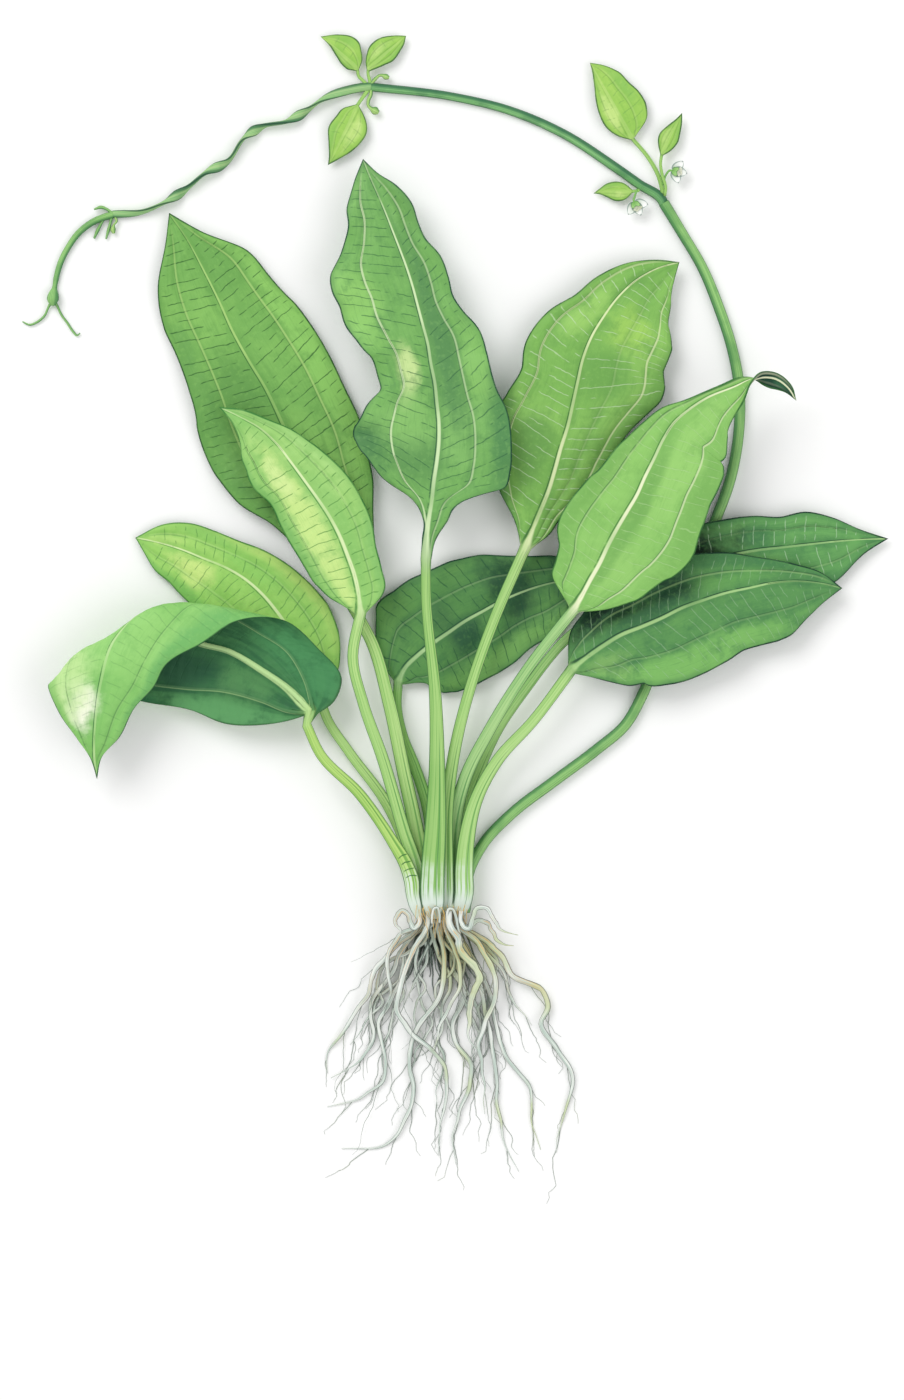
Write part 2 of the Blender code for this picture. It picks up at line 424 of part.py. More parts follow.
def directions(points, rolls):
    """The left and upper directions across a path, turned about it by `rolls` degrees."""
    along = np.gradient(points, axis=0)
    along /= np.linalg.norm(along, axis=1)[:, None]
    left = np.cross((0.0, 0.0, 1.0), along)
    left /= np.linalg.norm(left, axis=1)[:, None]
    upper = np.cross(along, left)
    turn = np.radians(rolls)[:, None]
    return np.cos(turn) * left + np.sin(turn) * upper, np.cos(turn) * upper - np.sin(turn) * left


def loft(name, rings, colour, pointed=False):
    """Close a row of rings, in millimetres, into one solid."""
    mesh_data = bmesh.new()
    closed_rings = rings[:-1] if pointed else rings
    loops = [[mesh_data.verts.new(point * MM) for point in ring] for ring in closed_rings]
    sides = len(loops[0])
    for lower, upper in zip(loops[:-1], loops[1:]):
        for side in range(sides):
            after = (side + 1) % sides
            mesh_data.faces.new((lower[side], lower[after], upper[after], upper[side]))
    mesh_data.faces.new(tuple(reversed(loops[0])))
    if pointed:
        tip = mesh_data.verts.new(np.mean(rings[-1], axis=0) * MM)
        for side in range(sides):
            mesh_data.faces.new((loops[-1][side], loops[-1][(side + 1) % sides], tip))
    else:
        mesh_data.faces.new(tuple(loops[-1]))
    bmesh.ops.triangulate(mesh_data, faces=mesh_data.faces)
    bmesh.ops.recalc_face_normals(mesh_data, faces=mesh_data.faces)
    mesh = bpy.data.meshes.new(name)
    mesh_data.to_mesh(mesh)
    mesh_data.free()
    mesh.shade_smooth()
    mesh.materials.append(green_material(name, colour))
    piece = bpy.data.objects.new(name, mesh)
    bpy.context.scene.collection.objects.link(piece)
    return piece


def strap(name, rows, count, sides, colour):
    """A stem of oval section from rows of x, y, z, half width, half thickness and roll."""
    path = smooth_curve(rows, count)
    left, upper = directions(path[:, :3], path[:, 5])
    angles = np.arange(sides) * (2 * math.pi / sides)
    rings = []
    for row, side_way, up_way in zip(path, left, upper):
        ring = [
            row[:3] + row[3] * math.cos(angle) * side_way + row[4] * math.sin(angle) * up_way
            for angle in angles
        ]
        rings.append(np.array(ring))
    return loft(name, rings, colour)


def stem(name, rows, count, sides, colour):
    """A round stem from rows of x, y, z and radius."""
    return strap(name, [(x, y, z, radius, radius, 0) for x, y, z, radius in rows], count, sides, colour)


def stalk_lines(rows, count):
    """The five lines of a leaf stalk and its half thickness at each ring."""
    path = smooth_curve(rows, count)
    left, _ = directions(path[:, :3], np.zeros(count))
    lines = [[row[:3] + share * row[3] / 2 * way for share in ACROSS] for row, way in zip(path, left)]
    depth = np.minimum(STALK_MAX_DEPTH, STALK_DEPTH * path[:, 3]) / 2
    return np.array(lines), depth


def blade_lines(rows, count, cup):
    """The five lines of a blade, whose margins rise with the square of their distance."""
    path = smooth_curve(rows, count)
    left, upper = directions(path[:, :3], path[:, 5])
    lines = []
    for row, side_way, up_way in zip(path, left, upper):
        halves = [row[3] if share > 0 else row[4] for share in ACROSS]
        outs = [max(half, 0.0) * share for half, share in zip(halves, ACROSS)]
        lines.append([row[:3] + out * side_way + cup * out**2 / WIDE * up_way for out in outs])
    return np.array(lines)


def leaf_solid(name, stalk, stalk_depth, blade, colour):
    """One leaf: an oval stalk that flattens into a lens-shaped blade."""
    shares = np.linspace(0.0, 1.0, len(blade))
    base_depth = stalk_depth[-1]
    middle = MIDRIB_TIP_HALF + (base_depth - MIDRIB_TIP_HALF) * (1 - shares) ** 3
    quarter = BLADE_EDGE_HALF + (0.87 * base_depth - BLADE_EDGE_HALF) * (1 - shares) ** 16
    lines = np.concatenate([stalk, blade])
    middle = np.concatenate([stalk_depth, middle])
    quarter = np.concatenate([0.87 * stalk_depth, quarter])
    along = np.gradient(lines, axis=0)
    outwards = np.cross(along, np.gradient(lines, axis=1))
    lengths = np.linalg.norm(outwards, axis=2)
    outwards /= np.maximum(lengths, 1e-9)[:, :, None]
    rings = []
    for line, way, half, side in zip(lines, outwards, middle, quarter):
        thickness = np.array([0.0, side, half, side, 0.0])[:, None]
        upper = line + way * thickness
        lower = line - way * thickness
        rings.append(np.concatenate([upper, lower[3:0:-1]]))
    return loft(name, rings, colour, pointed=True)


def leaf(name, stalk_rows, blade_rows, cup, colour, stalk_rings=STALK_RINGS, blade_rings=BLADE_RINGS):
    stalk, depth = stalk_lines(stalk_rows + [blade_rows[0][:3] + (2 * blade_rows[0][3],)], stalk_rings + 1)
    blade = blade_lines(blade_rows, blade_rings, cup)
    return leaf_solid(name, stalk[:-1], depth[:-1], blade, colour)


def folded_leaf(name, stalk_rows, blade_net, colour):
    """The leaf whose far half lies back over its near half."""
    stalk, depth = stalk_lines(stalk_rows, STALK_RINGS)
    net = np.array(blade_net, dtype=float)
    blade = np.stack([smooth_curve(net[:, line], BLADE_RINGS + 2) for line in range(len(ACROSS))], axis=1)
    return leaf_solid(name, stalk, depth, blade, colour)


def crown(name, colour, sides=20, exponent=2.6):
    """A short rootstock with a flat underside, from the root face to the stalk face."""
    stations = [(CROWN_BOTTOM, 0.78), (-3.0, 1.0), (CROWN_TOP, 1.03)]
    rings = []
    for y, share in stations:
        ring = []
        for side in range(sides):
            angle = 2 * math.pi * side / sides
            across, rise = math.cos(angle), math.sin(angle)
            x = math.copysign(abs(across) ** (2 / exponent), across) * CROWN_HALF_WIDTH * share
            z = math.copysign(abs(rise) ** (2 / exponent), rise) * CROWN_HALF_DEPTH * share
            ring.append((x, y, max(0.0, CROWN_CENTRE_Z + z)))
        rings.append(np.array(ring))
    return loft(name, rings, colour)


def build():
    for old in list(bpy.data.objects):
        bpy.data.objects.remove(old)
    crown("crown", CROWN_PALE)
    for name, leaf_data in LEAVES.items():
        rings = leaf_data.get("rings", BLADE_RINGS)
        leaf(name, leaf_data["stalk"], leaf_data["blade"], leaf_data["cup"], leaf_data["colour"], blade_rings=rings)
    folded_leaf("leaf_j", FOLDED_STALK, FOLDED_BLADE, LEAF_GREEN)
    for name, (stalk_rows, blade_rows) in PLANTLETS.items():
        leaf(name, stalk_rows, blade_rows, 0.0, LIGHT_GREEN, stalk_rings=3, blade_rings=8)
    stem("scape_lower", SCAPE_LOWER, 40, 8, SCAPE_GREEN)
    stem("scape_middle", SCAPE_MIDDLE, 14, 8, SCAPE_GREEN)
    strap("scape_twisted", SCAPE_TWISTED, 44, 6, SCAPE_GREEN)
    stem("scape_tip", SCAPE_TIP, 12, 6, SCAPE_GREEN)
    for name, (colour, rows) in SMALL_STEMS.items():
        stem(name, rows, 8, 6, colour)
    for number, (thick, thin, route) in enumerate(ROOTS, start=1):
        x, y, z = route[0]
        points = [route[0], (x, y - ROOT_STRAIGHT, z)] + route[1:]
        radii = np.linspace(thick, thin, len(points))
        rows = [(*point, radius) for point, radius in zip(points, radii)]
        stem(f"root_{number:02d}", rows, 2 * len(points) - 1, 5, ROOT_PALE)


build()
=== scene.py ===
"""Amazon sword plant: the finished leaves, flower stalk, crown and roots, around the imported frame.

Tables are in millimetres. A leaf is grown as one skin from the crown to its tip, and every
vertex carries where it is on the leaf, which is what the finishes read.
"""

import math

import bpy
import numpy as np
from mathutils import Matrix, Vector


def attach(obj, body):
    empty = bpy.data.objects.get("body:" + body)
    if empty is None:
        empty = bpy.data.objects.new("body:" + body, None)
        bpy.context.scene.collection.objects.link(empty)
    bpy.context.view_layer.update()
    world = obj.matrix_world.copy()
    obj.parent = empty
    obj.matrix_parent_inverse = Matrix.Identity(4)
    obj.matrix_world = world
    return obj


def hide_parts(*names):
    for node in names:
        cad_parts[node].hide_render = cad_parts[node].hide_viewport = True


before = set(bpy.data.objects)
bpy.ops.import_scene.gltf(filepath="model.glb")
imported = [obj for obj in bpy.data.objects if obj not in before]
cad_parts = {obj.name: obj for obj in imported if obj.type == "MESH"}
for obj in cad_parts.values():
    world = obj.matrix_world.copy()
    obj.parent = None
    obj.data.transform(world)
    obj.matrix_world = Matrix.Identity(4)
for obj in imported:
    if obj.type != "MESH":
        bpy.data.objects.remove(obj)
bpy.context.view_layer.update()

MM = 0.001
BODY = "root"
CROWN_TOP = 4.0  # Y of the crown's stalk face
CROWN_BOTTOM = -8.0  # Y of its root face
GAP = 0.7
CROWN_HEIGHT = 8.8  # of its middle over the floor
CROWN_HALF_WIDTH = 13.4
CROWN_HALF_HEIGHT = 7.6
LAST_LONG_ROOT = 14  # the roots after it are short loops beside the crown, without side roots
STALK_START = CROWN_TOP + GAP
ROOT_START = CROWN_BOTTOM - GAP
SUNK = 11.5  # how far the stalks run down into the crown
ROOT_SUNK = 6.0  # how far the roots run up into it
FLOOR_CLEARANCE = 0.15  # no leaf skin lies lower than this
STALK_DEPTH = 0.58  # thickness of a leaf stalk, as a share of its width
STALK_MAX_DEPTH = 4.4
WIDE = 40.0  # half width at which a margin has risen by WIDE times its cup

# Blade skin: its relief, in millimetres.
BLADE_HALF = 0.22  # half thickness between the veins
MIDRIB_RISE = 0.55
MIDRIB_KEEL = 1.3
MIDRIB_HALF_WIDTH = 1.0
VEIN_RISE = 0.32
VEIN_HALF_WIDTH = 0.75
PILLOW = 0.9  # how far the blade swells between two veins
CROSS_RIDGE = 0.12
CROSS_SPACING = 5.2
STALK_ROWS = 44
BLADE_ROWS = 170
BLADE_COLUMNS = 37
VEIN_COLUMNS = (-0.06, -0.035, -0.016, 0.0, 0.016, 0.035, 0.06)  # beside each vein


# One leaf: its stalk as (x, y, z, width) from the crown outwards, and its blade from the base
# to the tip as (x, y, z, left half, right half), with a roll in degrees where it turns over.
LEAVES = {
    "leaf_a": {"cup": -0.06, "stalk": [
        (-8, STALK_START, 9.6, 8.5), (-8.5, 16, 9.6, 8.5), (-12, 38, 10.2, 7.5), (-18, 66, 11, 7),
        (-25.5, 101, 12, 6.5), (-34, 131, 12, 6)
    ], "blade": [
        (-42, 146.5, 11.5, 2.8, 2.8), (-45.5, 159, 10.5, 7, 11), (-51, 172, 10, 13, 19),
        (-56.5, 186, 9, 17.5, 25), (-62.5, 200, 8.5, 24, 31.5), (-68.5, 214.5, 8.5, 35.5, 34.5),
        (-74, 229.5, 8, 41, 36.5), (-80.5, 244.5, 7.5, 42, 36), (-87.5, 259, 7.5, 39.5, 36),
        (-96, 273, 7, 34, 36), (-104, 287.5, 6.5, 31, 34), (-111, 303, 6, 31, 28.5),
        (-118.5, 318, 5.5, 26, 23.5), (-126.5, 333, 5, 14.5, 8.5), (-136, 347, 4, 0, 0)
    ]},
    "leaf_b": {"cup": 0.06, "stalk": [
        (-11, STALK_START, 15, 7), (-11.5, 16, 15, 7), (-18, 37, 15.5, 6.5), (-28.5, 73, 18, 6),
        (-38.5, 101.5, 20, 5.5), (-43.5, 123.5, 21, 5.5)
    ], "blade": [
        (-39.5, 146, 22, 2.8, 2.8), (-40.5, 155, 22, 14, 13), (-42.5, 164.5, 22, 19.5, 14),
        (-46, 174.5, 22, 22, 15), (-50, 184.5, 22, 23.5, 17.5), (-55, 194, 21.5, 24, 18.5),
        (-61, 203, 21, 23, 19), (-67.5, 212, 20.5, 21, 17.5), (-74.5, 221.5, 20, 23, 14.5),
        (-81.5, 230.5, 19, 20.5, 10.5), (-89.5, 238, 18.5, 16.5, 6), (-100, 244, 17.5, 6, 4),
        (-110.5, 249, 16, 0, 0)
    ]},
    "leaf_c": {"cup": 0.05, "stalk": [
        (-3.8, STALK_START, 20.6, 12), (-3.6, 16, 20.6, 12), (-2.2, 40, 21.2, 10.8), (-1.5, 65, 22, 8.4),
        (-2.2, 102.5, 24, 6.3), (-7, 156, 26, 5)
    ], "blade": [
        (-7, 172.5, 26.5, 2.5, 2.5), (-6.5, 182.5, 26.5, 2.5, 4.5), (-5.5, 192, 26.5, 3, 9),
        (-4, 202, 26, 11, 14), (-3, 211.5, 26, 28, 33.5), (-1.5, 221.5, 25.5, 38.5, 37),
        (-0.5, 231.5, 25, 42.5, 36.5), (-0.5, 241, 25, 42, 35), (-1.5, 251, 24.5, 36.5, 31.5),
        (-2.5, 260.5, 24.5, 28, 29), (-4.5, 270.5, 24, 27.5, 28.5), (-6, 280, 24, 30, 27),
        (-8.5, 289.5, 23.5, 34, 22), (-11, 299, 23, 37.5, 18.5), (-13.5, 308.5, 22.5, 38, 18.5),
        (-16.5, 318, 22, 39.5, 18), (-20, 327.5, 21.5, 37, 14), (-23.5, 336.5, 20.5, 27.5, 13.5),
        (-27, 345.5, 19.5, 20.5, 14), (-31, 355, 18.5, 17, 10.5), (-35, 364, 17, 9, 4.5),
        (-38.5, 373, 16, 0, 0)
    ]},
    "leaf_d": {"cup": -0.05, "stalk": [
        (3, STALK_START, 15, 7.5), (3, 16, 15, 7.5), (3.5, 49, 15.4, 6.5), (7, 75.5, 15.8, 6),
        (16, 111.5, 16, 5.5), (27, 142.5, 16, 5.5)
    ], "blade": [
        (43, 179.5, 15.5, 2.8, 2.8), (46.5, 188, 15, 10, 8.5), (50.5, 197.5, 15, 22, 11),
        (54.5, 207.5, 14.5, 30.5, 17), (57.5, 217.5, 14.5, 35, 22.5), (60.5, 228.5, 14, 37.5, 25.5),
        (64, 239.5, 14, 37, 28.5), (66.5, 250.5, 13.5, 33, 35.5), (69, 262, 13.5, 29, 43),
        (71.5, 273, 13, 30, 43), (76, 284.5, 12.5, 26, 40.5), (82, 294.5, 12, 18.5, 39),
        (89, 304, 11, 15, 36), (98, 312.5, 10.5, 10.5, 28), (108.5, 318.5, 9.5, 5, 19), (120, 322, 8, 0, 0)
    ]},
    "leaf_e": {"cup": 0.05, "stalk": [
        (5.5, STALK_START, 9.6, 8.5), (5.8, 16, 9.6, 8.5), (7, 40, 10, 7.5), (12.5, 63, 12.5, 6.5),
        (25, 88, 17, 6), (43, 117, 22, 5.5)
    ], "blade": [
        (67, 148, 26, 2.8, 2.8), (71, 155, 27, 17, 15), (75, 162.5, 27.5, 20, 23.5),
        (79.5, 170.5, 28, 23, 29), (83.5, 179, 28.5, 27.5, 35.5), (88, 187.5, 29, 27.5, 39),
        (93, 196, 29.5, 26, 39.5), (98, 204.5, 30.5, 24, 36.5), (102, 213.5, 31, 21, 35.5),
        (106.5, 222.5, 31.5, 18.5, 35.5), (111, 232, 31.5, 14, 34.5), (116.5, 240.5, 32, 10, 30),
        (124, 247, 32.5, 5.5, 30), (132.5, 252.5, 33.5, 3.5, 22, -3), (147.5, 258.5, 34.5, 4, 10, -15),
        (155, 261.5, 35, 4.5, 7, -75), (161, 262.8, 34.5, 5.5, 4.5, -125), (167, 262, 33, 6, 3.5, -145),
        (173, 258, 31, 4, 2.5, -145), (177.5, 251.5, 27, 0, 0, -145)
    ]},
    "leaf_f": {"cup": -0.05, "stalk": [
        (12, STALK_START, 15, 9.4), (12, 16, 15, 9.4), (13, 31, 15, 8.5), (18, 52.5, 15, 6.8),
        (28.5, 72, 15.5, 6), (46.5, 92, 16.5, 5.5)
    ], "blade": [
        (66, 118, 17, 2.8, 2.8), (73, 123.5, 17, 14, 14), (81.5, 129.5, 17, 19, 24),
        (90.5, 135, 16.5, 22, 27.5), (100.5, 139, 16.5, 23.5, 31.5), (111, 143.5, 16, 25.5, 34),
        (121, 148.5, 16, 24.5, 34.5), (132, 152.5, 15.5, 24, 33), (143, 156, 14.5, 21, 30.5),
        (154.5, 158.5, 14, 17.5, 29.5), (166, 161, 13.5, 12.5, 29), (178, 162, 12.5, 8.5, 25),
        (190, 161, 11.5, 5.5, 14), (201.5, 158.5, 10, 0, 0)
    ]},
    "leaf_g": {"cup": -0.03, "stalk": [
        (5, STALK_START, 4.2, 7.5), (5, 16, 4.2, 7), (11.5, 45, 4.6, 6), (19.5, 67, 5.2, 5.5),
        (28.5, 86.5, 6, 5), (43, 108, 7.5, 5), (65, 134.5, 9, 5)
    ], "blade": [
        (82, 146.5, 10, 2.5, 2.5), (90.5, 152, 10, 10, 11), (100.5, 157.5, 10, 12, 20.5),
        (111.5, 162, 10, 14.5, 24), (123, 166.5, 9.5, 17.5, 26.5), (134.5, 171, 9, 20, 27.5),
        (146.5, 175, 9, 18.5, 28.5), (159, 177.5, 8.5, 17.5, 28.5), (172, 179, 8, 15.5, 27.5),
        (185, 180.5, 7.5, 16.5, 24), (198.5, 182, 6.5, 12, 19), (211.5, 183, 5, 5, 8), (225, 183.5, 4, 0, 0)
    ]},
    "leaf_h": {"cup": 0.02, "stalk": [
        (-4, STALK_START, 4.2, 6.5), (-4, 16, 4.2, 6.5), (-6, 47.5, 4.2, 6), (-13, 70, 4.2, 5.5),
        (-18.5, 84, 4.2, 5), (-21.5, 100, 4.2, 4.5)
    ], "blade": [
        (-21, 111.5, 4.2, 2.4, 2.4), (-17.5, 118.5, 4.5, 18, 16), (-11, 125, 4.5, 32, 25),
        (-3.5, 131, 4.5, 33, 28.5), (4.5, 136.5, 5, 33, 30), (12.5, 142, 5, 31, 31),
        (21.5, 147, 5, 29.5, 30.5), (30.5, 152, 5, 26, 28.5), (39.5, 156, 4.5, 20.5, 27),
        (49.5, 159.5, 4.5, 16, 26), (60, 162, 4, 13, 20), (70.5, 163, 3.5, 8, 12), (81, 164, 3, 0, 0)
    ]},
    "leaf_i": {"cup": -0.04, "stalk": [
        (-12, STALK_START, 4.2, 6.5), (-13, 16, 4.2, 6.5), (-19, 35, 4.4, 6), (-27, 51, 4.6, 5.5),
        (-46, 77, 5, 5), (-57, 94, 5.6, 4.8)
    ], "blade": [
        (-59, 99.5, 6, 2.4, 2.4), (-61.5, 108.5, 6, 14, 8.5), (-64.5, 118.5, 6, 22, 15.5),
        (-69, 128, 6, 27, 20.5), (-75, 137, 6, 28.5, 23), (-81.5, 146.5, 6, 30.5, 22),
        (-89, 155.5, 6, 31, 20), (-97.5, 163, 5.5, 30, 17.5), (-107.5, 169, 5.5, 28, 15),
        (-118.5, 173.5, 5, 23, 15), (-129.5, 178, 4.5, 18, 14), (-141, 181.5, 4, 13, 9.5),
        (-153, 184, 3.5, 0, 0)
    ]},
}

# The leaf that folds over itself: each row of its blade runs from one margin to the other.
FOLDED_STALK = [
    (-13.5, STALK_START, 20.4, 6.8), (-14.1, 12, 20.4, 7.8), (-17.2, 21, 20.5, 7), (-22.8, 30.5, 20.6, 6),
    (-40, 55.5, 21, 5.5), (-60, 76, 21, 5), (-66.5, 90, 20.8, 4.8),
]
FOLDED_BLADE = [
    [(-68, 94.5, 20.5), (-67, 96, 20.5), (-65, 97.5, 20.5), (-63, 97, 20.5), (-61, 95.5, 20.5)],
    [(-72.5, 93, 19.5), (-76, 97, 19.5), (-76, 108.5, 19), (-68, 113.5, 19.5), (-53, 101.5, 20.5)],
    [(-89, 90, 17), (-89, 102, 17.5), (-89, 117.5, 17.5), (-76, 126.5, 18.5), (-49, 112.5, 20)],
    [(-107, 90.5, 14.5), (-107.5, 107, 15.5), (-105, 127, 16), (-90, 136, 18.5), (-61, 128.5, 21)],
    [(-125, 97.5, 13.5), (-127.5, 108.5, 14), (-122.5, 132.5, 16), (-106, 145, 20.5), (-77, 142, 25)],
    [(-148, 101.5, 13.5), (-152.5, 112.5, 14), (-135, 144, 19.5), (-121.5, 150, 26), (-101, 141.5, 30.5)],
    [(-171, 107.5, 14.5), (-170, 120, 17), (-145, 146.5, 27), (-136, 137.5, 31), (-117.5, 131, 32)],
    [(-190, 109, 18), (-182, 124.5, 25), (-162, 132, 31), (-146, 122.5, 32), (-137, 119, 31)],
    [(-195, 110.5, 24), (-185.5, 114, 29), (-168.5, 111.5, 32), (-152.5, 109.5, 31), (-142, 109.5, 29)],
    [(-190, 96.5, 26), (-182.5, 96.5, 29), (-171, 95, 31), (-160, 98, 30), (-152, 98.5, 28)],
    [(-181, 83.5, 26), (-177, 82, 27), (-172, 80, 28), (-166.5, 81, 27.5), (-159.5, 84, 26.5)],
    [(-174.5, 74, 25), (-173.3, 73, 25), (-172, 72, 25), (-170, 73, 25), (-168.5, 74, 25)],
    [(-171, 63, 23), (-171, 63, 23), (-171, 63, 23), (-171, 63, 23), (-171, 63, 23)],
]

# Small leaves of the two upper whorls, as the large ones: stalk rows, then blade rows.
PLANTLETS = {
    "whorl1_leaf_large": ([
        (112, 354.5, 3, 2.2), (111.6, 358.2, 3.4, 2.2), (109.6, 365.6, 3.6, 2.1), (104.6, 374.6, 3.8, 2)
    ], [
        (96.6, 384.1, 4.2, 1, 1), (94.6, 387.5, 4.5, 5, 9.5), (91.5, 393, 5.2, 8.5, 14),
        (87.5, 400.3, 5.5, 8.7, 14.5), (84, 406.5, 5.4, 6.8, 12.3), (80.3, 413, 5, 3.5, 10.3),
        (77.3, 418.6, 4.7, 1.2, 5.2), (75.2, 422.3, 4.4, 0, 0)
    ]),
    "whorl1_leaf_small": ([
        (112.8, 355.5, 4.4, 1.5), (113.2, 359.4, 5.6, 1.5), (111.4, 366, 5.8, 1.6), (110.6, 371.5, 5.6, 1.5)
    ], [
        (111.2, 376, 5, 0.8, 0.8), (112.5, 378.8, 5, 3.2, 3), (114.7, 384, 5.2, 5.3, 5),
        (117, 388.5, 5, 3.8, 4), (119.4, 393, 4.8, 1.6, 2.3), (121.5, 397.2, 4.2, 0, 0)
    ]),
    "whorl1_leaf_left": ([
        (100, 360.4, 2.6, 1.4), (99.4, 358.1, 3.2, 1.4), (98, 358, 3.2, 1.4)
    ], [
        (96.4, 357.9, 3.2, 0.8, 0.8), (93.5, 357.8, 3.4, 3.7, 3.5), (89, 357.8, 3.8, 5, 4.9),
        (84, 357.8, 3.5, 3.2, 4), (80.5, 357.4, 3.2, 1.2, 2), (77, 356.8, 3, 0, 0)
    ]),
    "whorl2_leaf_upper_left": ([
        (-36.4, 411.2, 2.8, 1.7), (-38.8, 413.6, 3.2, 1.7), (-40.8, 415.6, 3.4, 1.6)
    ], [
        (-41.4, 418.6, 3.8, 0.8, 0.8), (-43, 420.8, 4.2, 3.3, 5.2), (-46.5, 424, 4.8, 3.9, 9.7),
        (-50.5, 427.6, 4.8, 2.6, 10.2), (-55, 431.5, 4.4, 0.8, 6.5), (-60, 435.5, 4, 0, 0)
    ]),
    "whorl2_leaf_upper_right": ([
        (-35.2, 411.2, 2.8, 1.7), (-35.4, 413.8, 3.2, 1.7), (-36, 416, 3.4, 1.6)
    ], [
        (-36.2, 418.4, 3.8, 0.8, 0.8), (-34.5, 420.3, 4, 4, 2), (-31, 423.5, 4.4, 7.6, 3.7),
        (-27, 427.2, 4.6, 8.3, 5.3), (-22.5, 431, 4.2, 6.2, 3.9), (-19.5, 433.7, 3.8, 3.2, 2.4),
        (-17, 435.9, 3.6, 0, 0)
    ]),
    "whorl2_leaf_lower": ([
        (-36, 409, 2.8, 1.9), (-38, 406.2, 3.2, 1.9), (-39.8, 403.6, 3.4, 1.8)
    ], [
        (-41.5, 401, 3.8, 0.9, 0.9), (-43, 397.5, 4.2, 5.6, 5.6), (-45.5, 392, 4.8, 9.8, 7.6),
        (-48.5, 386, 5, 9.5, 8.4), (-51.5, 380, 4.6, 6.8, 5), (-54, 375, 4, 3, 2), (-56.3, 371, 3.4, 0, 0)
    ]),
}

# The flower stalk lies on the surface; each table is (x, y, z, radius).
SCAPE_LOWER = [
    (12.5, -4, 5, 2.6), (13.5, STALK_START, 4, 2.8), (14, 14, 3.6, 2.8), (21.5, 30, 3, 2.75),
    (35.5, 45, 2.8, 2.75), (57, 61.5, 2.75, 2.75), (78.5, 77.5, 2.75, 2.75), (93, 90, 2.75, 2.75),
    (102, 106, 2.75, 2.75), (110, 128, 2.75, 2.75), (124, 157, 2.75, 2.75), (138, 192, 2.75, 2.75),
    (145.5, 212.5, 2.75, 2.75), (150, 237.5, 2.75, 2.75), (150, 261, 2.75, 2.75), (146.5, 279.5, 2.7, 2.7),
    (140, 299.5, 2.7, 2.7), (131.5, 320, 2.6, 2.6), (121.5, 337, 2.6, 2.6), (112.4, 352, 2.8, 2.8),
]
SCAPE_MIDDLE = [
    (112.8, 350.5, 2.6, 2.4), (111.8, 353, 2.5, 2.5), (100, 361.5, 2.4, 2.4), (86.5, 371, 2.4, 2.4),
    (63.5, 386, 2.3, 2.3), (35, 398.5, 2.2, 2.2), (6, 405.5, 2.1, 2.1), (-34.6, 410.4, 2.2, 2.2),
]
# The twisted part is a strap: (x, y, z, half width, half thickness, roll in degrees).
SCAPE_TWISTED = [
    (-33.4, 410.6, 2.3, 2.1, 1.8, 0), (-35.2, 410.5, 2.4, 2.2, 1.8, 0), (-47, 408.5, 2.6, 2.3, 1.2, 0),
    (-60, 403.5, 3, 2.6, 1, 70), (-66, 399, 3, 2.6, 1, 110), (-77, 393, 3, 2.6, 1, 250),
    (-89, 390.5, 3, 2.6, 1, 290), (-98, 385, 3, 2.6, 1, 430), (-106.5, 373, 3, 2.6, 1, 470),
    (-118, 367, 3, 2.6, 1, 610), (-127, 359.5, 3, 2.6, 1, 650), (-138, 352.5, 3, 2.5, 1, 790),
    (-150, 347.5, 2.6, 2.2, 1.1, 830), (-164.3, 346.4, 2.2, 1.9, 1.5, 900),
]
SCAPE_TIP = [
    (-163.6, 346.4, 1.8, 1.8), (-165.2, 346, 1.8, 1.8), (-174, 342.8, 1.7, 1.7), (-181.8, 336.8, 1.7, 1.6),
    (-187, 329.5, 1.6, 1.5), (-190.7, 322, 1.6, 1.5), (-192.8, 314.5, 1.5, 1.4), (-193.7, 309.2, 1.5, 1.4),
    (-194.1, 306, 3, 2.7), (-194.4, 303.6, 3.2, 3), (-194.6, 301, 2, 1.3),
]

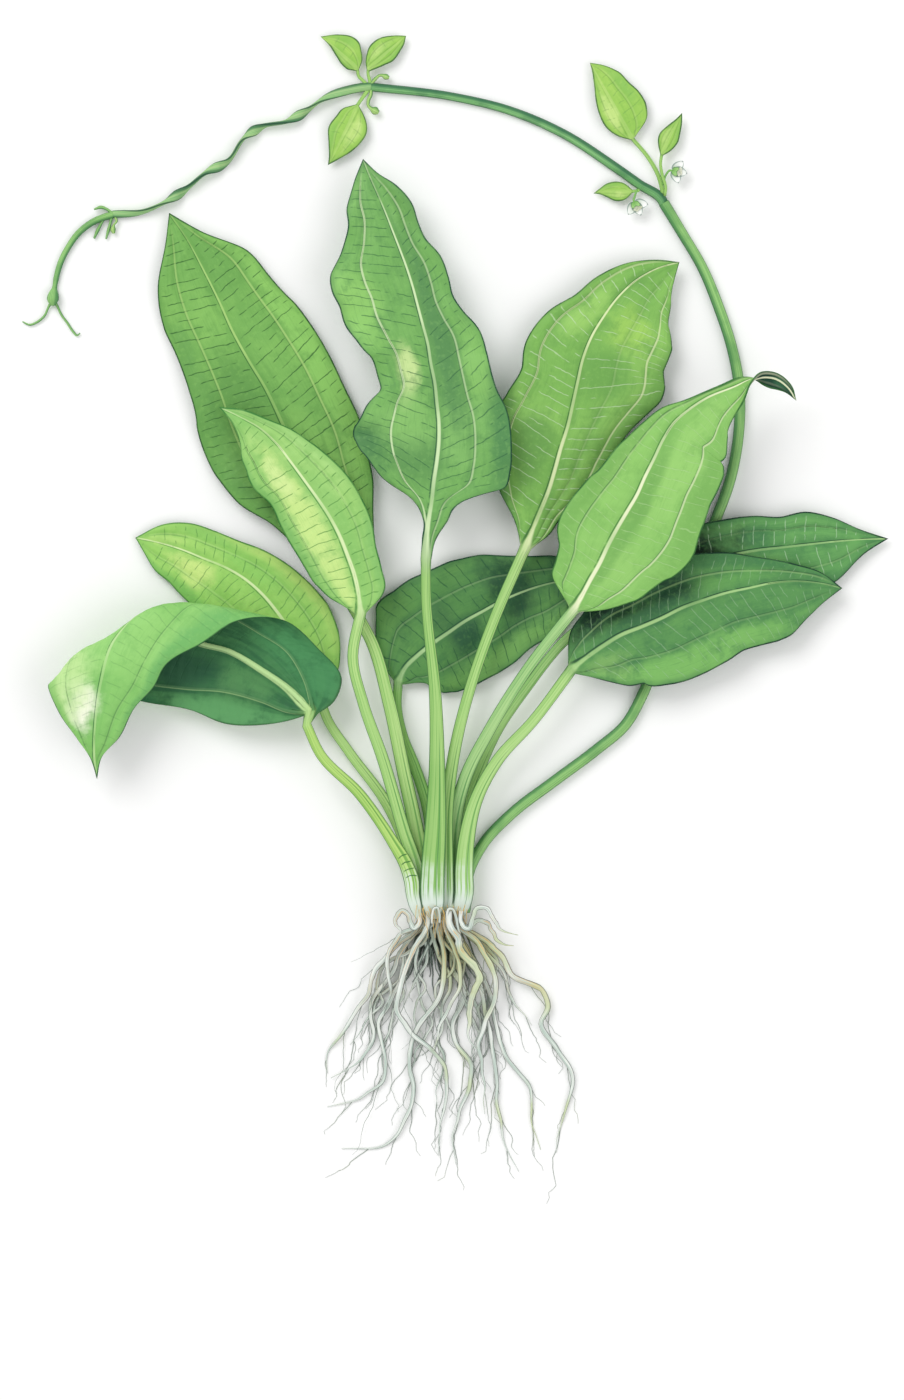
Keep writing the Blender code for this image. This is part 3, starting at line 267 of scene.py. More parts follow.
# Flowers, buds, bracts and the two thin ends: short stems of changing radius.
SMALL_STEMS = {
    "whorl1_flower_right": [
        (111.8, 361, 4.2, 0.8), (113.6, 366.4, 4.4, 0.6), (115.2, 368.2, 4.6, 0.6), (117, 368, 4.8, 1.2),
        (118.8, 367.5, 4.8, 3.6), (121.4, 367, 4.8, 4.2), (124, 366.6, 4.8, 2.2)],
    "whorl1_flower_left": [
        (99, 359, 3, 0.8), (97.6, 355, 4, 0.6), (97.2, 353.4, 4.2, 0.6), (97.6, 352, 4.4, 1.2),
        (98.4, 350.4, 4.4, 3.2), (99.6, 348.2, 4.4, 3.8), (100.6, 346.2, 4.4, 2)],
    "whorl2_bud_right": [
        (-34.8, 411.6, 2.8, 0.8), (-32.2, 414.6, 3.2, 0.9), (-30.4, 416, 3.3, 0.7), (-29, 416.1, 3.2, 0.8),
        (-27.2, 415.4, 3.2, 1.5), (-25.6, 414.8, 3.2, 0.8)],
    "whorl2_bud_lower": [
        (-34.6, 409, 2.6, 0.8), (-34.8, 406.2, 3, 0.9), (-36, 403.4, 3.2, 0.9), (-36, 400.9, 3.2, 0.8),
        (-34.6, 399.4, 3.2, 1), (-32.6, 398.3, 3.2, 2.1), (-30.8, 397.4, 3.2, 0.9)],
    "whorl3_bud": [
        (-163.6, 345.6, 2, 0.8), (-162.4, 343, 2.4, 0.6), (-163.8, 341, 2.4, 0.6),
        (-164.2, 338.8, 2.4, 1.3), (-163.8, 336.8, 2.4, 0.7)],
    "whorl3_bract_left": [
        (-164.6, 346.8, 2.2, 0.8), (-167.4, 349, 2.4, 0.7), (-170, 349.9, 2.4, 0.9),
        (-173.8, 348.9, 2.2, 0.4)],
    "whorl3_bract_outer": [
        (-168.4, 345, 1.8, 0.8), (-170.4, 341.4, 1.6, 0.7), (-172, 338.4, 1.6, 0.9),
        (-173.8, 334.3, 1.4, 0.5)],
    "whorl3_bract_inner": [
        (-164.8, 345.6, 1.8, 0.8), (-165.6, 342.2, 1.6, 0.7), (-166.6, 338.4, 1.6, 0.8),
        (-167.8, 334, 1.4, 0.4)],
    "end_bract_left": [
        (-195.2, 302.6, 2, 0.8), (-196.9, 299.4, 1.6, 0.6), (-198.4, 296, 1.4, 0.6),
        (-202, 292.6, 1.2, 0.6), (-206.4, 291, 1.2, 0.5), (-209.8, 292.6, 1.2, 0.3)],
    "end_bract_right": [
        (-193.4, 302.6, 2, 0.8), (-191.8, 299.4, 1.6, 0.6), (-190.2, 296, 1.4, 0.6),
        (-187.4, 292.2, 1.2, 0.6), (-184, 287.2, 1.2, 0.6), (-182.4, 285.6, 1.2, 0.5),
        (-180.8, 286.8, 1.2, 0.3)],
}

# Main roots: radius at the crown, radius at the tip, and the route as (x, y, z).
ROOTS = [
    (1.1, 0.7, [
        (-9.5, ROOT_START, 15), (-19, -15, 14), (-25, -23, 11), (-26, -36.5, 8), (-24, -44, 6),
        (-28.5, -53, 4)]),
    (1.2, 0.5, [
        (-10, ROOT_START, 11.5), (-21, -20, 9), (-30, -29, 7), (-38, -48, 4), (-44, -57, 2.5),
        (-50.5, -66.5, 1.6), (-56.5, -74, 1), (-57.5, -85, 0.8)]),
    (1.2, 0.5, [
        (-9, ROOT_START, 7.5), (-17, -20, 5), (-25.5, -36.5, 3.5), (-33.5, -48, 2.5), (-34.5, -57.5, 2),
        (-33.5, -66.5, 1.6), (-38, -76, 1.2), (-54.5, -87.5, 0.8)]),
    (1.1, 0.5, [
        (-6.5, ROOT_START, 4.5), (-14, -26, 3), (-23, -46, 2.4), (-30, -60, 2), (-29, -70, 1.8),
        (-27.5, -80.5, 1.6), (-30, -90, 1.4), (-38, -96.5, 1.2), (-56.5, -102, 0.8)]),
    (1.3, 0.5, [
        (-6, ROOT_START, 17), (-14, -24, 15), (-19.5, -40, 12), (-20.5, -55, 9), (-14, -64.5, 7),
        (-4.5, -73, 5.5), (2, -82, 4.5), (3.5, -92, 3.5), (1, -110, 2), (-0.5, -126.5, 1)]),
    (1.3, 0.5, [
        (-1.5, ROOT_START, 9), (1.5, -22, 7), (1.5, -38, 5), (-2.5, -50, 4), (-11, -61, 3), (-15, -71, 2.4),
        (-15.5, -82.5, 2), (-13, -92, 1.8), (-14.5, -101, 1.6), (-27.5, -121, 1.2), (-49, -123, 0.8)]),
    (1.1, 0.6, [
        (2, ROOT_START, 13), (7, -22, 11), (10.5, -40, 9), (3.5, -53, 7.5), (-0.5, -62, 7.2),
        (-3, -74, 7.5)]),
    (1.3, 0.5, [
        (2.5, ROOT_START, 5), (7, -26, 3.4), (12, -45, 2.6), (7, -59.5, 2.2), (8, -69, 2), (14, -79, 1.8),
        (15, -92, 1.6), (9, -104.5, 1.4), (6.5, -116, 1.2), (8, -131, 0.8)]),
    (1.9, 0.9, [
        (4.5, ROOT_START, 18), (8, -15, 17.5), (11, -24, 16), (18.5, -31, 14.5), (19.5, -38, 13),
        (16, -47, 11), (15, -57.5, 9.5), (15, -66.5, 8.5), (18, -73, 7.5)]),
    (1.4, 0.5, [
        (8, ROOT_START, 14), (18, -18, 12), (25, -30, 10), (27.5, -45, 8), (23, -59.5, 6), (20, -70, 5),
        (20.5, -79, 4), (22, -92, 2.6), (22, -105.5, 1.4)]),
    (1.2, 0.4, [
        (6.5, ROOT_START, 9.5), (15, -26, 7), (21, -45, 5), (24, -62, 3.4), (27, -80, 2.2), (28, -100, 1.6),
        (32, -119.5, 1.2), (39.5, -134.5, 0.8)]),
    (1.2, 0.4, [
        (7, ROOT_START, 5.5), (18, -28, 3.6), (27, -50, 2.4), (31.5, -74, 1.8), (39, -84, 1.5),
        (45, -92, 1.3), (46.5, -100, 1.2), (46, -110, 1.1), (50.5, -123.5, 0.8)]),
    (1.4, 0.4, [
        (10.5, ROOT_START, 11), (23, -18.5, 9), (31, -25.5, 7), (37, -36, 5.5), (45, -40, 4.5),
        (51.5, -43.5, 3.6), (54.5, -51.5, 3), (51.5, -60, 2.5), (58.5, -72.5, 2), (66, -84, 1.6),
        (63, -103.5, 1.2), (57.5, -125, 0.8)]),
    (1, 0.4, [
        (10.5, ROOT_START, 7.5), (22, -23, 5.5), (32, -34, 4), (35, -46, 3), (40, -53, 2), (46, -61, 1.2)]),
    (1.2, 0.5, [
        (10.5, ROOT_START, 18.5), (14.5, -11.5, 20.5), (16, -6, 21.5), (19, -1.2, 21.5), (23, -1.2, 21),
        (26.5, -6, 20), (29.5, -11, 19), (34, -13.5, 18), (39, -15, 17)]),
    (1.2, 0.5, [
        (10.8, ROOT_START, 14.8), (15.5, -11.5, 16.2), (19, -7.5, 16.8), (22.5, -8.5, 16.4),
        (26, -13, 15.5), (29.5, -18.5, 14), (33, -20, 13.5), (38, -20.5, 13)]),
    (1.2, 0.8, [
        (-10.5, ROOT_START, 18.5), (-13.5, -11.5, 19.5), (-15.5, -5.5, 20), (-18.5, -2.6, 20),
        (-21.3, -4.5, 19.5), (-22, -9, 18.5), (-20.5, -13, 17.5), (-17.5, -15.5, 16.5)]),
]

# Two short roots that arch over the front of the crown: (x, y, z, radius).
ARCHES = [
    [(-4, -9, 20.5, 0.6), (-3.8, -4, 22.8, 0.7), (-2.8, -1.2, 23.2, 0.7), (-1.4, -0.9, 23.2, 0.7),
     (-0.4, -3.4, 23, 0.7), (-0.2, -8.5, 20.5, 0.6)],
    [(3.6, -9, 18, 0.7), (3.5, -4, 20, 0.8), (4.6, -1.5, 20.6, 0.8), (6.2, -1.7, 20.6, 0.8),
     (7.8, -5, 20, 0.8), (9, -11, 18.6, 0.7), (11.5, -19, 16.5, 0.5)],
]

# Each leaf's finish. Places on a blade are (across, along): across is 1 at the left margin
# and -1 at the right one, along is 0 at the base and 1 at the tip.
#   waves    (side, height, waves along the blade, start): how the margins rise and fall
#   veins    (across, paleness, darkness): the side veins; darkness is the strength of a painted shadow line along one side of each
#   tints_and_painted_light (across, along, half width, half length, colour, strength): soft patches of
#       colour: the leaf's own tints, painted shadows where other leaves or stalks lie over it, and painted
#       highlights
#   strokes  (colour, strength, slope): the short cross veins
UNDERSIDE = {"body": "4F8F52", "dark": "3C7A48", "tints_and_painted_light": []}
LOOKS = {
    "leaf_a": {
        "slot": "leaf_mid", "waves": [(1, 1.2, 3.5, 0.1), (-1, 1, 3, 0.5)],
        "veins": [(0.57, 0.6, 0.4), (-0.62, 0.75, 0.4)], "body": "76AE58", "light": "8DC464",
        "dark": "5D9549", "vein": "A6CD78", "edge": "2E5E2C", "stalk": ("BBDC8E", "8CC068"),
        "strokes": ("2F5F2C", 0.8, 0.25),
        "tints_and_painted_light": [
            (0.35, 0.55, 0.5, 0.15, "5A9048", 0.8), (0.85, 0.5, 0.3, 0.35, "5F964D", 0.7),
            (-0.85, 0.6, 0.35, 0.45, "8FC866", 0.8), (-0.4, 0.85, 0.5, 0.12, "6AA252", 0.6),
            (0.3, 0.3, 0.6, 0.12, "558A45", 0.6)]},
    "leaf_b": {
        "slot": "leaf_light", "waves": [(1, 0.7, 3, 0.3), (-1, 0.7, 2.5, 0)],
        "veins": [(0.72, 0.1, 0.5), (-0.55, 0.1, 0.4)], "body": "98CB70", "light": "ABD880",
        "dark": "80B964", "vein": "DCEDB6", "edge": "3F7F3B", "stalk": ("B6DA8A", "86BC66"),
        "strokes": ("4C8A3E", 0.7, 0.1),
        "tints_and_painted_light": [
            (0.42, 0.35, 0.36, 0.5, "C8E58C", 0.95), (0.45, 0.62, 0.25, 0.12, "D3EA9C", 0.7),
            (1, 0.35, 0.25, 0.6, "76B15F", 0.9), (0.2, 0.97, 0.9, 0.14, "84BF67", 0.8),
            (-0.25, 0.3, 0.25, 0.35, "84BF67", 0.6), (-0.8, 0.75, 0.3, 0.25, "A9D784", 0.7),
            (-0.9, 0.2, 0.3, 0.2, "7FB968", 0.7)]},
    "leaf_c": {
        "slot": "leaf_mid", "waves": [(1, 2.2, 6, 0), (-1, 2, 6.5, 0.4)],
        "veins": [(0.56, 0.8, 0.5), (-0.5, 0.45, 0.5)], "body": "74AD5C", "light": "8CC36E",
        "dark": "55894F", "vein": "D2E8B6", "edge": "25523A", "stalk": ("A8D07E", "76AE58"),
        "strokes": ("2F6340", 0.7, 0.5),
        "tints_and_painted_light": [
            # the dark patch right of the midrib is painted shade; the pale patch left of it at the middle is
            # a painted highlight
            (-0.28, 0.55, 0.3, 0.3, "568A52", 0.9), (0.42, 0.46, 0.24, 0.08, "CBE39A", 0.9),
            (0.95, 0.27, 0.4, 0.09, "4A7D4C", 0.9), (0.3, 0.24, 0.5, 0.07, "568B4E", 0.8),
            (-0.95, 0.3, 0.3, 0.16, "4F8650", 0.9), (0.8, 0.66, 0.4, 0.12, "93CB6D", 0.8),
            (-0.75, 0.45, 0.3, 0.1, "8CC46A", 0.7), (-0.6, 0.85, 0.4, 0.1, "62994F", 0.7),
            (0.1, 0.9, 0.5, 0.1, "6CA559", 0.6), (0.35, 0.35, 0.3, 0.1, "8AC06C", 0.6)]},
    "leaf_d": {
        "slot": "leaf_mid", "waves": [(1, 1.2, 4, 0.2), (-1, 1, 3.5, 0.6)],
        "veins": [(0.72, 0.5, 0.3), (-0.76, 0.6, 0.4), (-0.4, 0.1, 0.15)], "body": "7DB458",
        "light": "93C765", "dark": "649A4B", "vein": "DDE9B4", "edge": "2F6230",
        "stalk": ("B0D686", "7FB65E"), "strokes": ("C6DFB4", 0.55, 0.3),
        "tints_and_painted_light": [
            (0.95, 0.22, 0.3, 0.25, "568848", 0.9), (0.4, 0.28, 0.35, 0.14, "62954C", 0.7),
            (-0.4, 0.72, 0.35, 0.09, "A2D062", 0.8), (0.4, 0.7, 0.35, 0.1, "9DCE6C", 0.8),
            (-0.3, 0.55, 0.4, 0.1, "6CA350", 0.8), (-0.5, 0.2, 0.4, 0.12, "8CC25F", 0.7),
            (-0.7, 0.93, 0.4, 0.08, "8DC462", 0.6), (-0.92, 0.45, 0.2, 0.3, "6EA34F", 0.7)]},
    "leaf_e": {
        "slot": "leaf_light", "waves": [(1, 0.8, 3, 0), (-1, 1, 3.5, 0.4)],
        "veins": [(0.6, 0.15, 0.75), (-0.64, 0.45, 0.8)], "body": "8BC367", "light": "9ACD72",
        "dark": "76AE59", "vein": "EEF3CC", "edge": "3A7238", "stalk": ("AED38E", "82B870"),
        "strokes": ("B5D99A", 0.38, 0.2),
        "tints_and_painted_light": [
            (0.9, 0.35, 0.3, 0.35, "77AE59", 0.8), (-0.85, 0.4, 0.25, 0.3, "79B05A", 0.8),
            (-0.4, 0.5, 0.3, 0.25, "9BD073", 0.8), (-0.12, 0.3, 0.15, 0.3, "72A957", 0.8),
            (0.4, 0.4, 0.3, 0.2, "92CA6B", 0.6), (0, 0.85, 0.8, 0.1, "98CC70", 0.7)],
        # underside, seen on the curled tip: its own green darkened as painted shade
        "underside": {"body": "1F4E3B", "dark": "113A2C", "tints_and_painted_light": [
            (0, 0.93, 0.7, 0.04, "4E8A60", 0.7)]}},
    "leaf_f": {
        "slot": "leaf_dark", "waves": [(1, 1, 4, 0), (-1, 1, 3.5, 0.4)],
        "veins": [(0.5, 0.35, 0.5), (-0.5, 0.15, 0.45)], "body": "5A9353", "light": "6FA75A",
        "dark": "3F7549", "vein": "A9D08A", "edge": "163D2C", "stalk": ("BADC90", "8EC26A"),
        "strokes": ("A5C9A0", 0.35, 0.5),
        "tints_and_painted_light": [
            # the near-black and dark patches on the left half are painted shadow of leaf E, which lies over
            # it
            (0.75, 0.22, 0.6, 0.24, "0B2C20", 0.97), (0.5, 0.42, 0.5, 0.12, "173F2D", 0.9),
            (0.15, 0.3, 0.22, 0.2, "3A6C46", 0.8), (-0.8, 0.4, 0.3, 0.5, "7FBB63", 0.85),
            (0.45, 0.62, 0.4, 0.15, "64A055", 0.7), (-0.5, 0.12, 0.4, 0.1, "87B768", 0.7),
            (0.8, 0.6, 0.25, 0.3, "3C7448", 0.7)]},
    "leaf_g": {
        "slot": "leaf_dark", "waves": [(1, 0.8, 4, 0.3), (-1, 0.8, 4.5, 0)],
        "veins": [(0.55, 0.1, 0.3), (-0.5, 0.2, 0.4)], "body": "5C9755", "light": "6FAC60",
        "dark": "3F7849", "vein": "A9D08A", "edge": "16392A", "stalk": ("ACD288", "7DB464"),
        "strokes": ("B4D6AE", 0.5, 0.2),
        "tints_and_painted_light": [
            # the near-black patch over the first half of the blade is painted shadow of the leaves that lie
            # over it
            (0.2, 0.22, 1.3, 0.34, "07231A", 0.97), (-0.3, 0.56, 0.5, 0.1, "6CA75C", 0.7),
            (-0.9, 0.55, 0.35, 0.4, "4C8750", 0.8), (0.4, 0.56, 0.4, 0.06, "3A6E48", 0.6)]},
    "leaf_h": {
        "slot": "leaf_dark", "waves": [(1, 0.8, 3, 0), (-1, 1, 3.5, 0.4)],
        "veins": [(0.5, 0.2, 0.6), (-0.5, 0.2, 0.6)], "body": "588E4E", "light": "6AA057", "dark": "3E7147",
        "vein": "B4D69A", "edge": "1E4A34", "stalk": ("96C672", "6BA450"), "strokes": ("285A3C", 0.7, -0.2),
        "tints_and_painted_light": [
            # the three near-black bands across the blade are painted shadows of the leaf stalks that lie
            # over it
            (0.2, 0.62, 0.9, 0.12, "234D36", 0.9), (-0.25, 0.36, 0.4, 0.1, "22503A", 0.85),
            (-0.85, 0.5, 0.3, 0.5, "7AAF5E", 0.8), (0.3, 0.86, 1.2, 0.1, "204A38", 0.9),
            (0.75, 0.15, 0.3, 0.15, "689E54", 0.7), (0.3, 0.3, 0.3, 0.08, "436F47", 0.6)]},
    "leaf_i": {
        "slot": "leaf_light", "waves": [(1, 0.8, 3.5, 0.1), (-1, 0.8, 3, 0.5)],
        "veins": [(0.5, 0.1, 0.3), (-0.5, 0.1, 0.5)], "body": "97CD66", "light": "A9D772", "dark": "82BC5E",
        "vein": "DCEDB4", "edge": "4F8A3F", "stalk": ("BCDD90", "92C46C"), "strokes": ("4F8A42", 0.6, 0.3),
        "tints_and_painted_light": [
            # the pale patch left of the midrib towards the tip is a painted highlight
            (0.35, 0.77, 0.35, 0.12, "D0E88C", 0.9), (0.95, 0.7, 0.25, 0.5, "7DBB62", 0.8),
            (-0.95, 0.45, 0.25, 0.4, "B9DC78", 0.8), (-0.2, 0.9, 0.4, 0.08, "BCDE80", 0.6),
            (-0.75, 0.75, 0.25, 0.15, "84C05F", 0.7), (-0.4, 0.55, 0.3, 0.15, "8BC863", 0.7)]},
    "leaf_j": {
        "slot": "leaf_mid", "veins": [(0.5, 0.1, 0.5), (-0.5, 0.1, 0.5)], "body": "8AC76C",
        "light": "9BD27B", "dark": "77B661", "vein": "B9DC98", "edge": "35663A",
        "stalk": ("B9DA7C", "7CB450"), "bars": 0.9, "strokes": ("4C8A50", 0.22, 0.2),
        "tints_and_painted_light": [
            # the near-white patch and the pale patch around it are a painted highlight on the folded-over
            # flap
            (0.3, 0.8, 0.42, 0.08, "F4F8E0", 1), (0.55, 0.72, 0.5, 0.12, "C4E59C", 0.8),
            (-0.2, 0.62, 0.6, 0.12, "9AD478", 0.6), (-0.9, 0.6, 0.3, 0.3, "6DB265", 0.8),
            (0.95, 0.75, 0.25, 0.3, "86C267", 0.7), (0, 0.97, 0.9, 0.06, "7CBA5C", 0.8)],
        # underside: its own green darkened as painted shade, and the near-black patch beside the fold is
        # painted shadow of the folded-over flap
        "underside": {"body": "427D4B", "dark": "2D653E", "tints_and_painted_light": [
            (-0.7, 0.15, 0.5, 0.18, "4A8E58", 0.8), (-0.4, 0.46, 0.8, 0.12, "0F3529", 0.95),
            (0.85, 0.25, 0.3, 0.25, "5F9F62", 0.9), (0.3, 0.35, 0.3, 0.15, "2A5A40", 0.8),
            (0.3, 0.18, 0.4, 0.1, "578F55", 0.7), (0.9, 0.5, 0.3, 0.14, "3E8058", 0.7)]}},
    "young": {
        "veins": [(0.5, 0.15, 0.3), (-0.5, 0.15, 0.3)], "body": "9CCB5C", "light": "B4D96C",
        "dark": "82B950", "vein": "D3E89A", "edge": "47703A", "stalk": ("A9D276", "7DB457"), "midrib": 0.3,
        "sheath": 0, "strokes": ("6FA552", 0.4, 0.2),
        "tints_and_painted_light": [
            (0.4, 0.4, 0.4, 0.3, "CDE68E", 0.8), (-0.7, 0.6, 0.3, 0.3, "8AC060", 0.7)]},
}


# ---------------------------------------------------------------- curves and skins

def bridge(t, before, after, leaving, arriving):
    """A smooth step from `before` at t = 0 to `after` at t = 1, with those slopes at its ends."""
    start = (2 * t**3 - 3 * t**2 + 1) * before + (t**3 - 2 * t**2 + t) * leaving
    return start + (3 * t**2 - 2 * t**3) * after + (t**3 - t**2) * arriving


def smooth_curve(rows, places):
    """Rows read from a smooth curve through `rows`, at `places` from 0 to 1 of its length."""
    rows = np.array(rows, dtype=float)
    steps = np.linalg.norm(np.diff(rows[:, :3], axis=0), axis=1)
    knots = np.concatenate([[0.0], np.cumsum(steps)])
    slopes = np.gradient(rows, knots, axis=0)
    places = np.asarray(places) * knots[-1]
    spans = np.clip(np.searchsorted(knots, places, side="right") - 1, 0, len(rows) - 2)
    lengths = (knots[spans + 1] - knots[spans])[:, None]
    t = (places - knots[spans])[:, None] / lengths
    return bridge(t, rows[spans], rows[spans + 1], lengths * slopes[spans], lengths * slopes[spans + 1])


def directions(points, rolls):
    """The left and upper directions across a path, turned about it by `rolls` degrees."""
    along = np.gradient(points, axis=0)
    along /= np.linalg.norm(along, axis=1)[:, None]
    left = np.cross((0.0, 0.0, 1.0), along)
    left /= np.linalg.norm(left, axis=1)[:, None]
    upper = np.cross(along, left)
    turn = np.radians(rolls)[:, None]
    return np.cos(turn) * left + np.sin(turn) * upper, np.cos(turn) * upper - np.sin(turn) * left


def ramp(values, low, high):
    """A smooth step from 0 at `low` to 1 at `high`."""
    share = np.clip((values - low) / (high - low), 0.0, 1.0)
    return share * share * (3 - 2 * share)


def ridge(distance, half_width):
    """A rounded ridge, 1 on its line and fading within about `half_width` of it."""
    return np.exp(-(distance / np.maximum(half_width, 1e-6)) ** 2)


def path_length(points):
    """How far along the path each of its points lies."""
    return np.concatenate([[0.0], np.cumsum(np.linalg.norm(np.diff(points, axis=0), axis=1))])


def extend_down(rows, length):
    """Rows that start `length` further down -Y, where the stalks draw together in the crown."""
    x, y, z, width = rows[0]
    return [(0.78 * x, y - length, 0.84 * z + 1.6, 0.35 * width),
            (0.88 * x, y - 0.55 * length, 0.93 * z + 0.8, 0.86 * width)] + list(rows)


def add_object(name, data):
    """A new object in the scene that shows `data`."""
    piece = bpy.data.objects.new(name, data)
    bpy.context.scene.collection.objects.link(piece)
    return piece


def add_mesh(name, vertices, faces, attributes=None):
    """A smooth mesh object from millimetre vertices, with vectors stored for its finish."""
    mesh = bpy.data.meshes.new(name)
    mesh.from_pydata([tuple(v) for v in np.asarray(vertices) * MM], [], faces)
    for key, values in (attributes or {}).items():
        layer = mesh.attributes.new(key, "FLOAT_VECTOR", "POINT")
        layer.data.foreach_set("vector", np.asarray(values, dtype=np.float32).ravel())
    mesh.update()
    mesh.shade_smooth()
    return add_object(name, mesh)


def ring_faces(rings, sides):
    """The faces of a closed skin over `rings` rings of `sides` points, flat at either end."""
    faces = []
    for ring in range(rings - 1):
        a, b = ring * sides, (ring + 1) * sides
        for side in range(sides):
            after = (side + 1) % sides
            faces.append((a + side, a + after, b + after, b + side))
    faces.append(tuple(reversed(range(sides))))
    faces.append(tuple(range((rings - 1) * sides, rings * sides)))
    return faces


def tube(name, rows, rings, sides):
    """A closed round or oval tube from rows of x, y, z, half width, half thickness and roll."""
    path = smooth_curve(rows, np.linspace(0.0, 1.0, rings))
    left, upper = directions(path[:, :3], path[:, 5])
    angles = np.arange(sides) * (2 * math.pi / sides)
    cosines, sines = np.cos(angles)[None, :], np.sin(angles)[None, :]
    across = cosines[:, :, None] * (path[:, 3, None] * left)[:, None, :]
    rise = sines[:, :, None] * (path[:, 4, None] * upper)[:, None, :]
    points = (path[:, None, :3] + across + rise).reshape(-1, 3)
    points[:, 2] = np.maximum(points[:, 2], FLOOR_CLEARANCE)
    run = path_length(path[:, :3])[:, None]
    place = np.stack(np.broadcast_arrays(cosines, sines, run), axis=-1)
    return add_mesh(name, points, ring_faces(rings, sides), {"stem_place": place.reshape(-1, 3)})


def join(name, pieces):
    """One object from several, all of which are already in place."""
    bpy.ops.object.select_all(action="DESELECT")
    for piece in pieces:
        piece.select_set(True)
    bpy.context.view_layer.objects.active = pieces[0]
    bpy.ops.object.join()
    pieces[0].name = name
    pieces[0].data.name = name
    return pieces[0]


# ---------------------------------------------------------------- leaves

def column_places(veins):
    """Where the columns of a blade's skin run, closer together at each vein."""
    places = set(np.round(np.linspace(-1.0, 1.0, BLADE_COLUMNS), 4))
    for vein in (0.0, *veins):
        places.update(round(vein + offset, 4) for offset in VEIN_COLUMNS)
    places.update((-0.985, 0.985))
    return np.array(sorted(places))[::-1]


def blade_surface(rows, places, columns, cup):
    """Points of the middle surface of a blade, one row for each place along it."""
    path = smooth_curve(rows, places)
    left, upper = directions(path[:, :3], path[:, 5])
    halves = np.maximum(np.where(columns[None, :] > 0, path[:, 3, None], path[:, 4, None]), 0.0)
    outs = halves * columns[None, :]
    surface = path[:, None, :3] + outs[:, :, None] * left[:, None, :]
    surface = surface + (cup * outs**2 / WIDE)[:, :, None] * upper[:, None, :]
    return surface, halves


def folded_surface(net, places, columns):
    """The middle surface of the folded leaf, smooth along and across its net."""
    net = np.array(net, dtype=float)
    last = net.shape[1] - 1
    lines = np.stack([smooth_curve(net[:, k], places) for k in range(last + 1)], axis=1)
    spots = (1.0 - columns) * last / 2  # 0 at the left margin, `last` at the right one
    spans = np.clip(np.floor(spots).astype(int), 0, last - 1)
    t = (spots - spans)[None, :, None]
    slopes = np.gradient(lines, axis=1)
    surface = bridge(t, lines[:, spans], lines[:, spans + 1], slopes[:, spans], slopes[:, spans + 1])
    left_half = path_across(surface, columns >= 0)
    right_half = path_across(surface, columns <= 0)
    halves = np.where(columns[None, :] > 0, left_half[:, None], right_half[:, None])
    return surface, halves


def path_across(surface, chosen):
    """How far it is across the chosen columns of a surface, in each row."""
    part = surface[:, chosen]
    return np.linalg.norm(np.diff(part, axis=1), axis=2).sum(axis=1)


def surface_normals(surface):
    """The upward direction, of length 1, at each point of a surface."""
    normals = np.cross(np.gradient(surface, axis=1), np.gradient(surface, axis=0))
    lengths = np.linalg.norm(normals, axis=2)
    normals /= np.maximum(lengths, 1e-9)[:, :, None]
    return normals


def margin_waves(columns, along, waves):
    """How far the margins wave up and down, in millimetres, for each row and column."""
    lift = np.zeros((len(along), len(columns)))
    for side, height, count, start in waves:
        reach = np.clip(side * columns, 0.0, 1.0) ** 2.2
        swell = np.sin(2 * math.pi * (count * along + start)) * ramp(along, 0.02, 0.2)
        lift += height * swell[:, None] * reach[None, :] * (1 - ramp(along, 0.85, 1.0))[:, None]
    return lift


def add_sheets(name, surface, top, bottom, places):
    """A closed skin of two sheets that share their margins and close to a point at the tip."""
    rows, columns = surface.shape[:2]
    vertices = np.concatenate([top.reshape(-1, 3), bottom.reshape(-1, 3)])
    number = np.arange(2 * rows * columns).reshape(2, rows, columns)
    number[1, :, 0] = number[0, :, 0]
    number[1, :, -1] = number[0, :, -1]
    number[:, -1, :] = number[0, -1, columns // 2]
    vertices[number[0, :, 0]] = surface[:, 0]
    vertices[number[0, :, -1]] = surface[:, -1]
    faces = []
    for row in range(rows - 1):
        for column in range(columns - 1):
            for sheet in (0, 1):
                a, b = number[sheet, row, column:column + 2]
                d, c = number[sheet, row + 1, column:column + 2]
                face = (a, b, c, d) if c != d else (a, b, c)
                faces.append(face if sheet == 0 else face[::-1])
    faces.append((*number[1, 0, 1:-1], *number[0, 0, ::-1]))
    used = np.zeros(len(vertices), dtype=bool)
    for face in faces:
        used[list(face)] = True
    renumber = np.cumsum(used) - 1
    faces = [tuple(int(renumber[v]) for v in face) for face in faces]
    attributes = {key: values.reshape(-1, 3)[used] for key, values in places.items()}
    return add_mesh(name, vertices[used], faces, attributes)


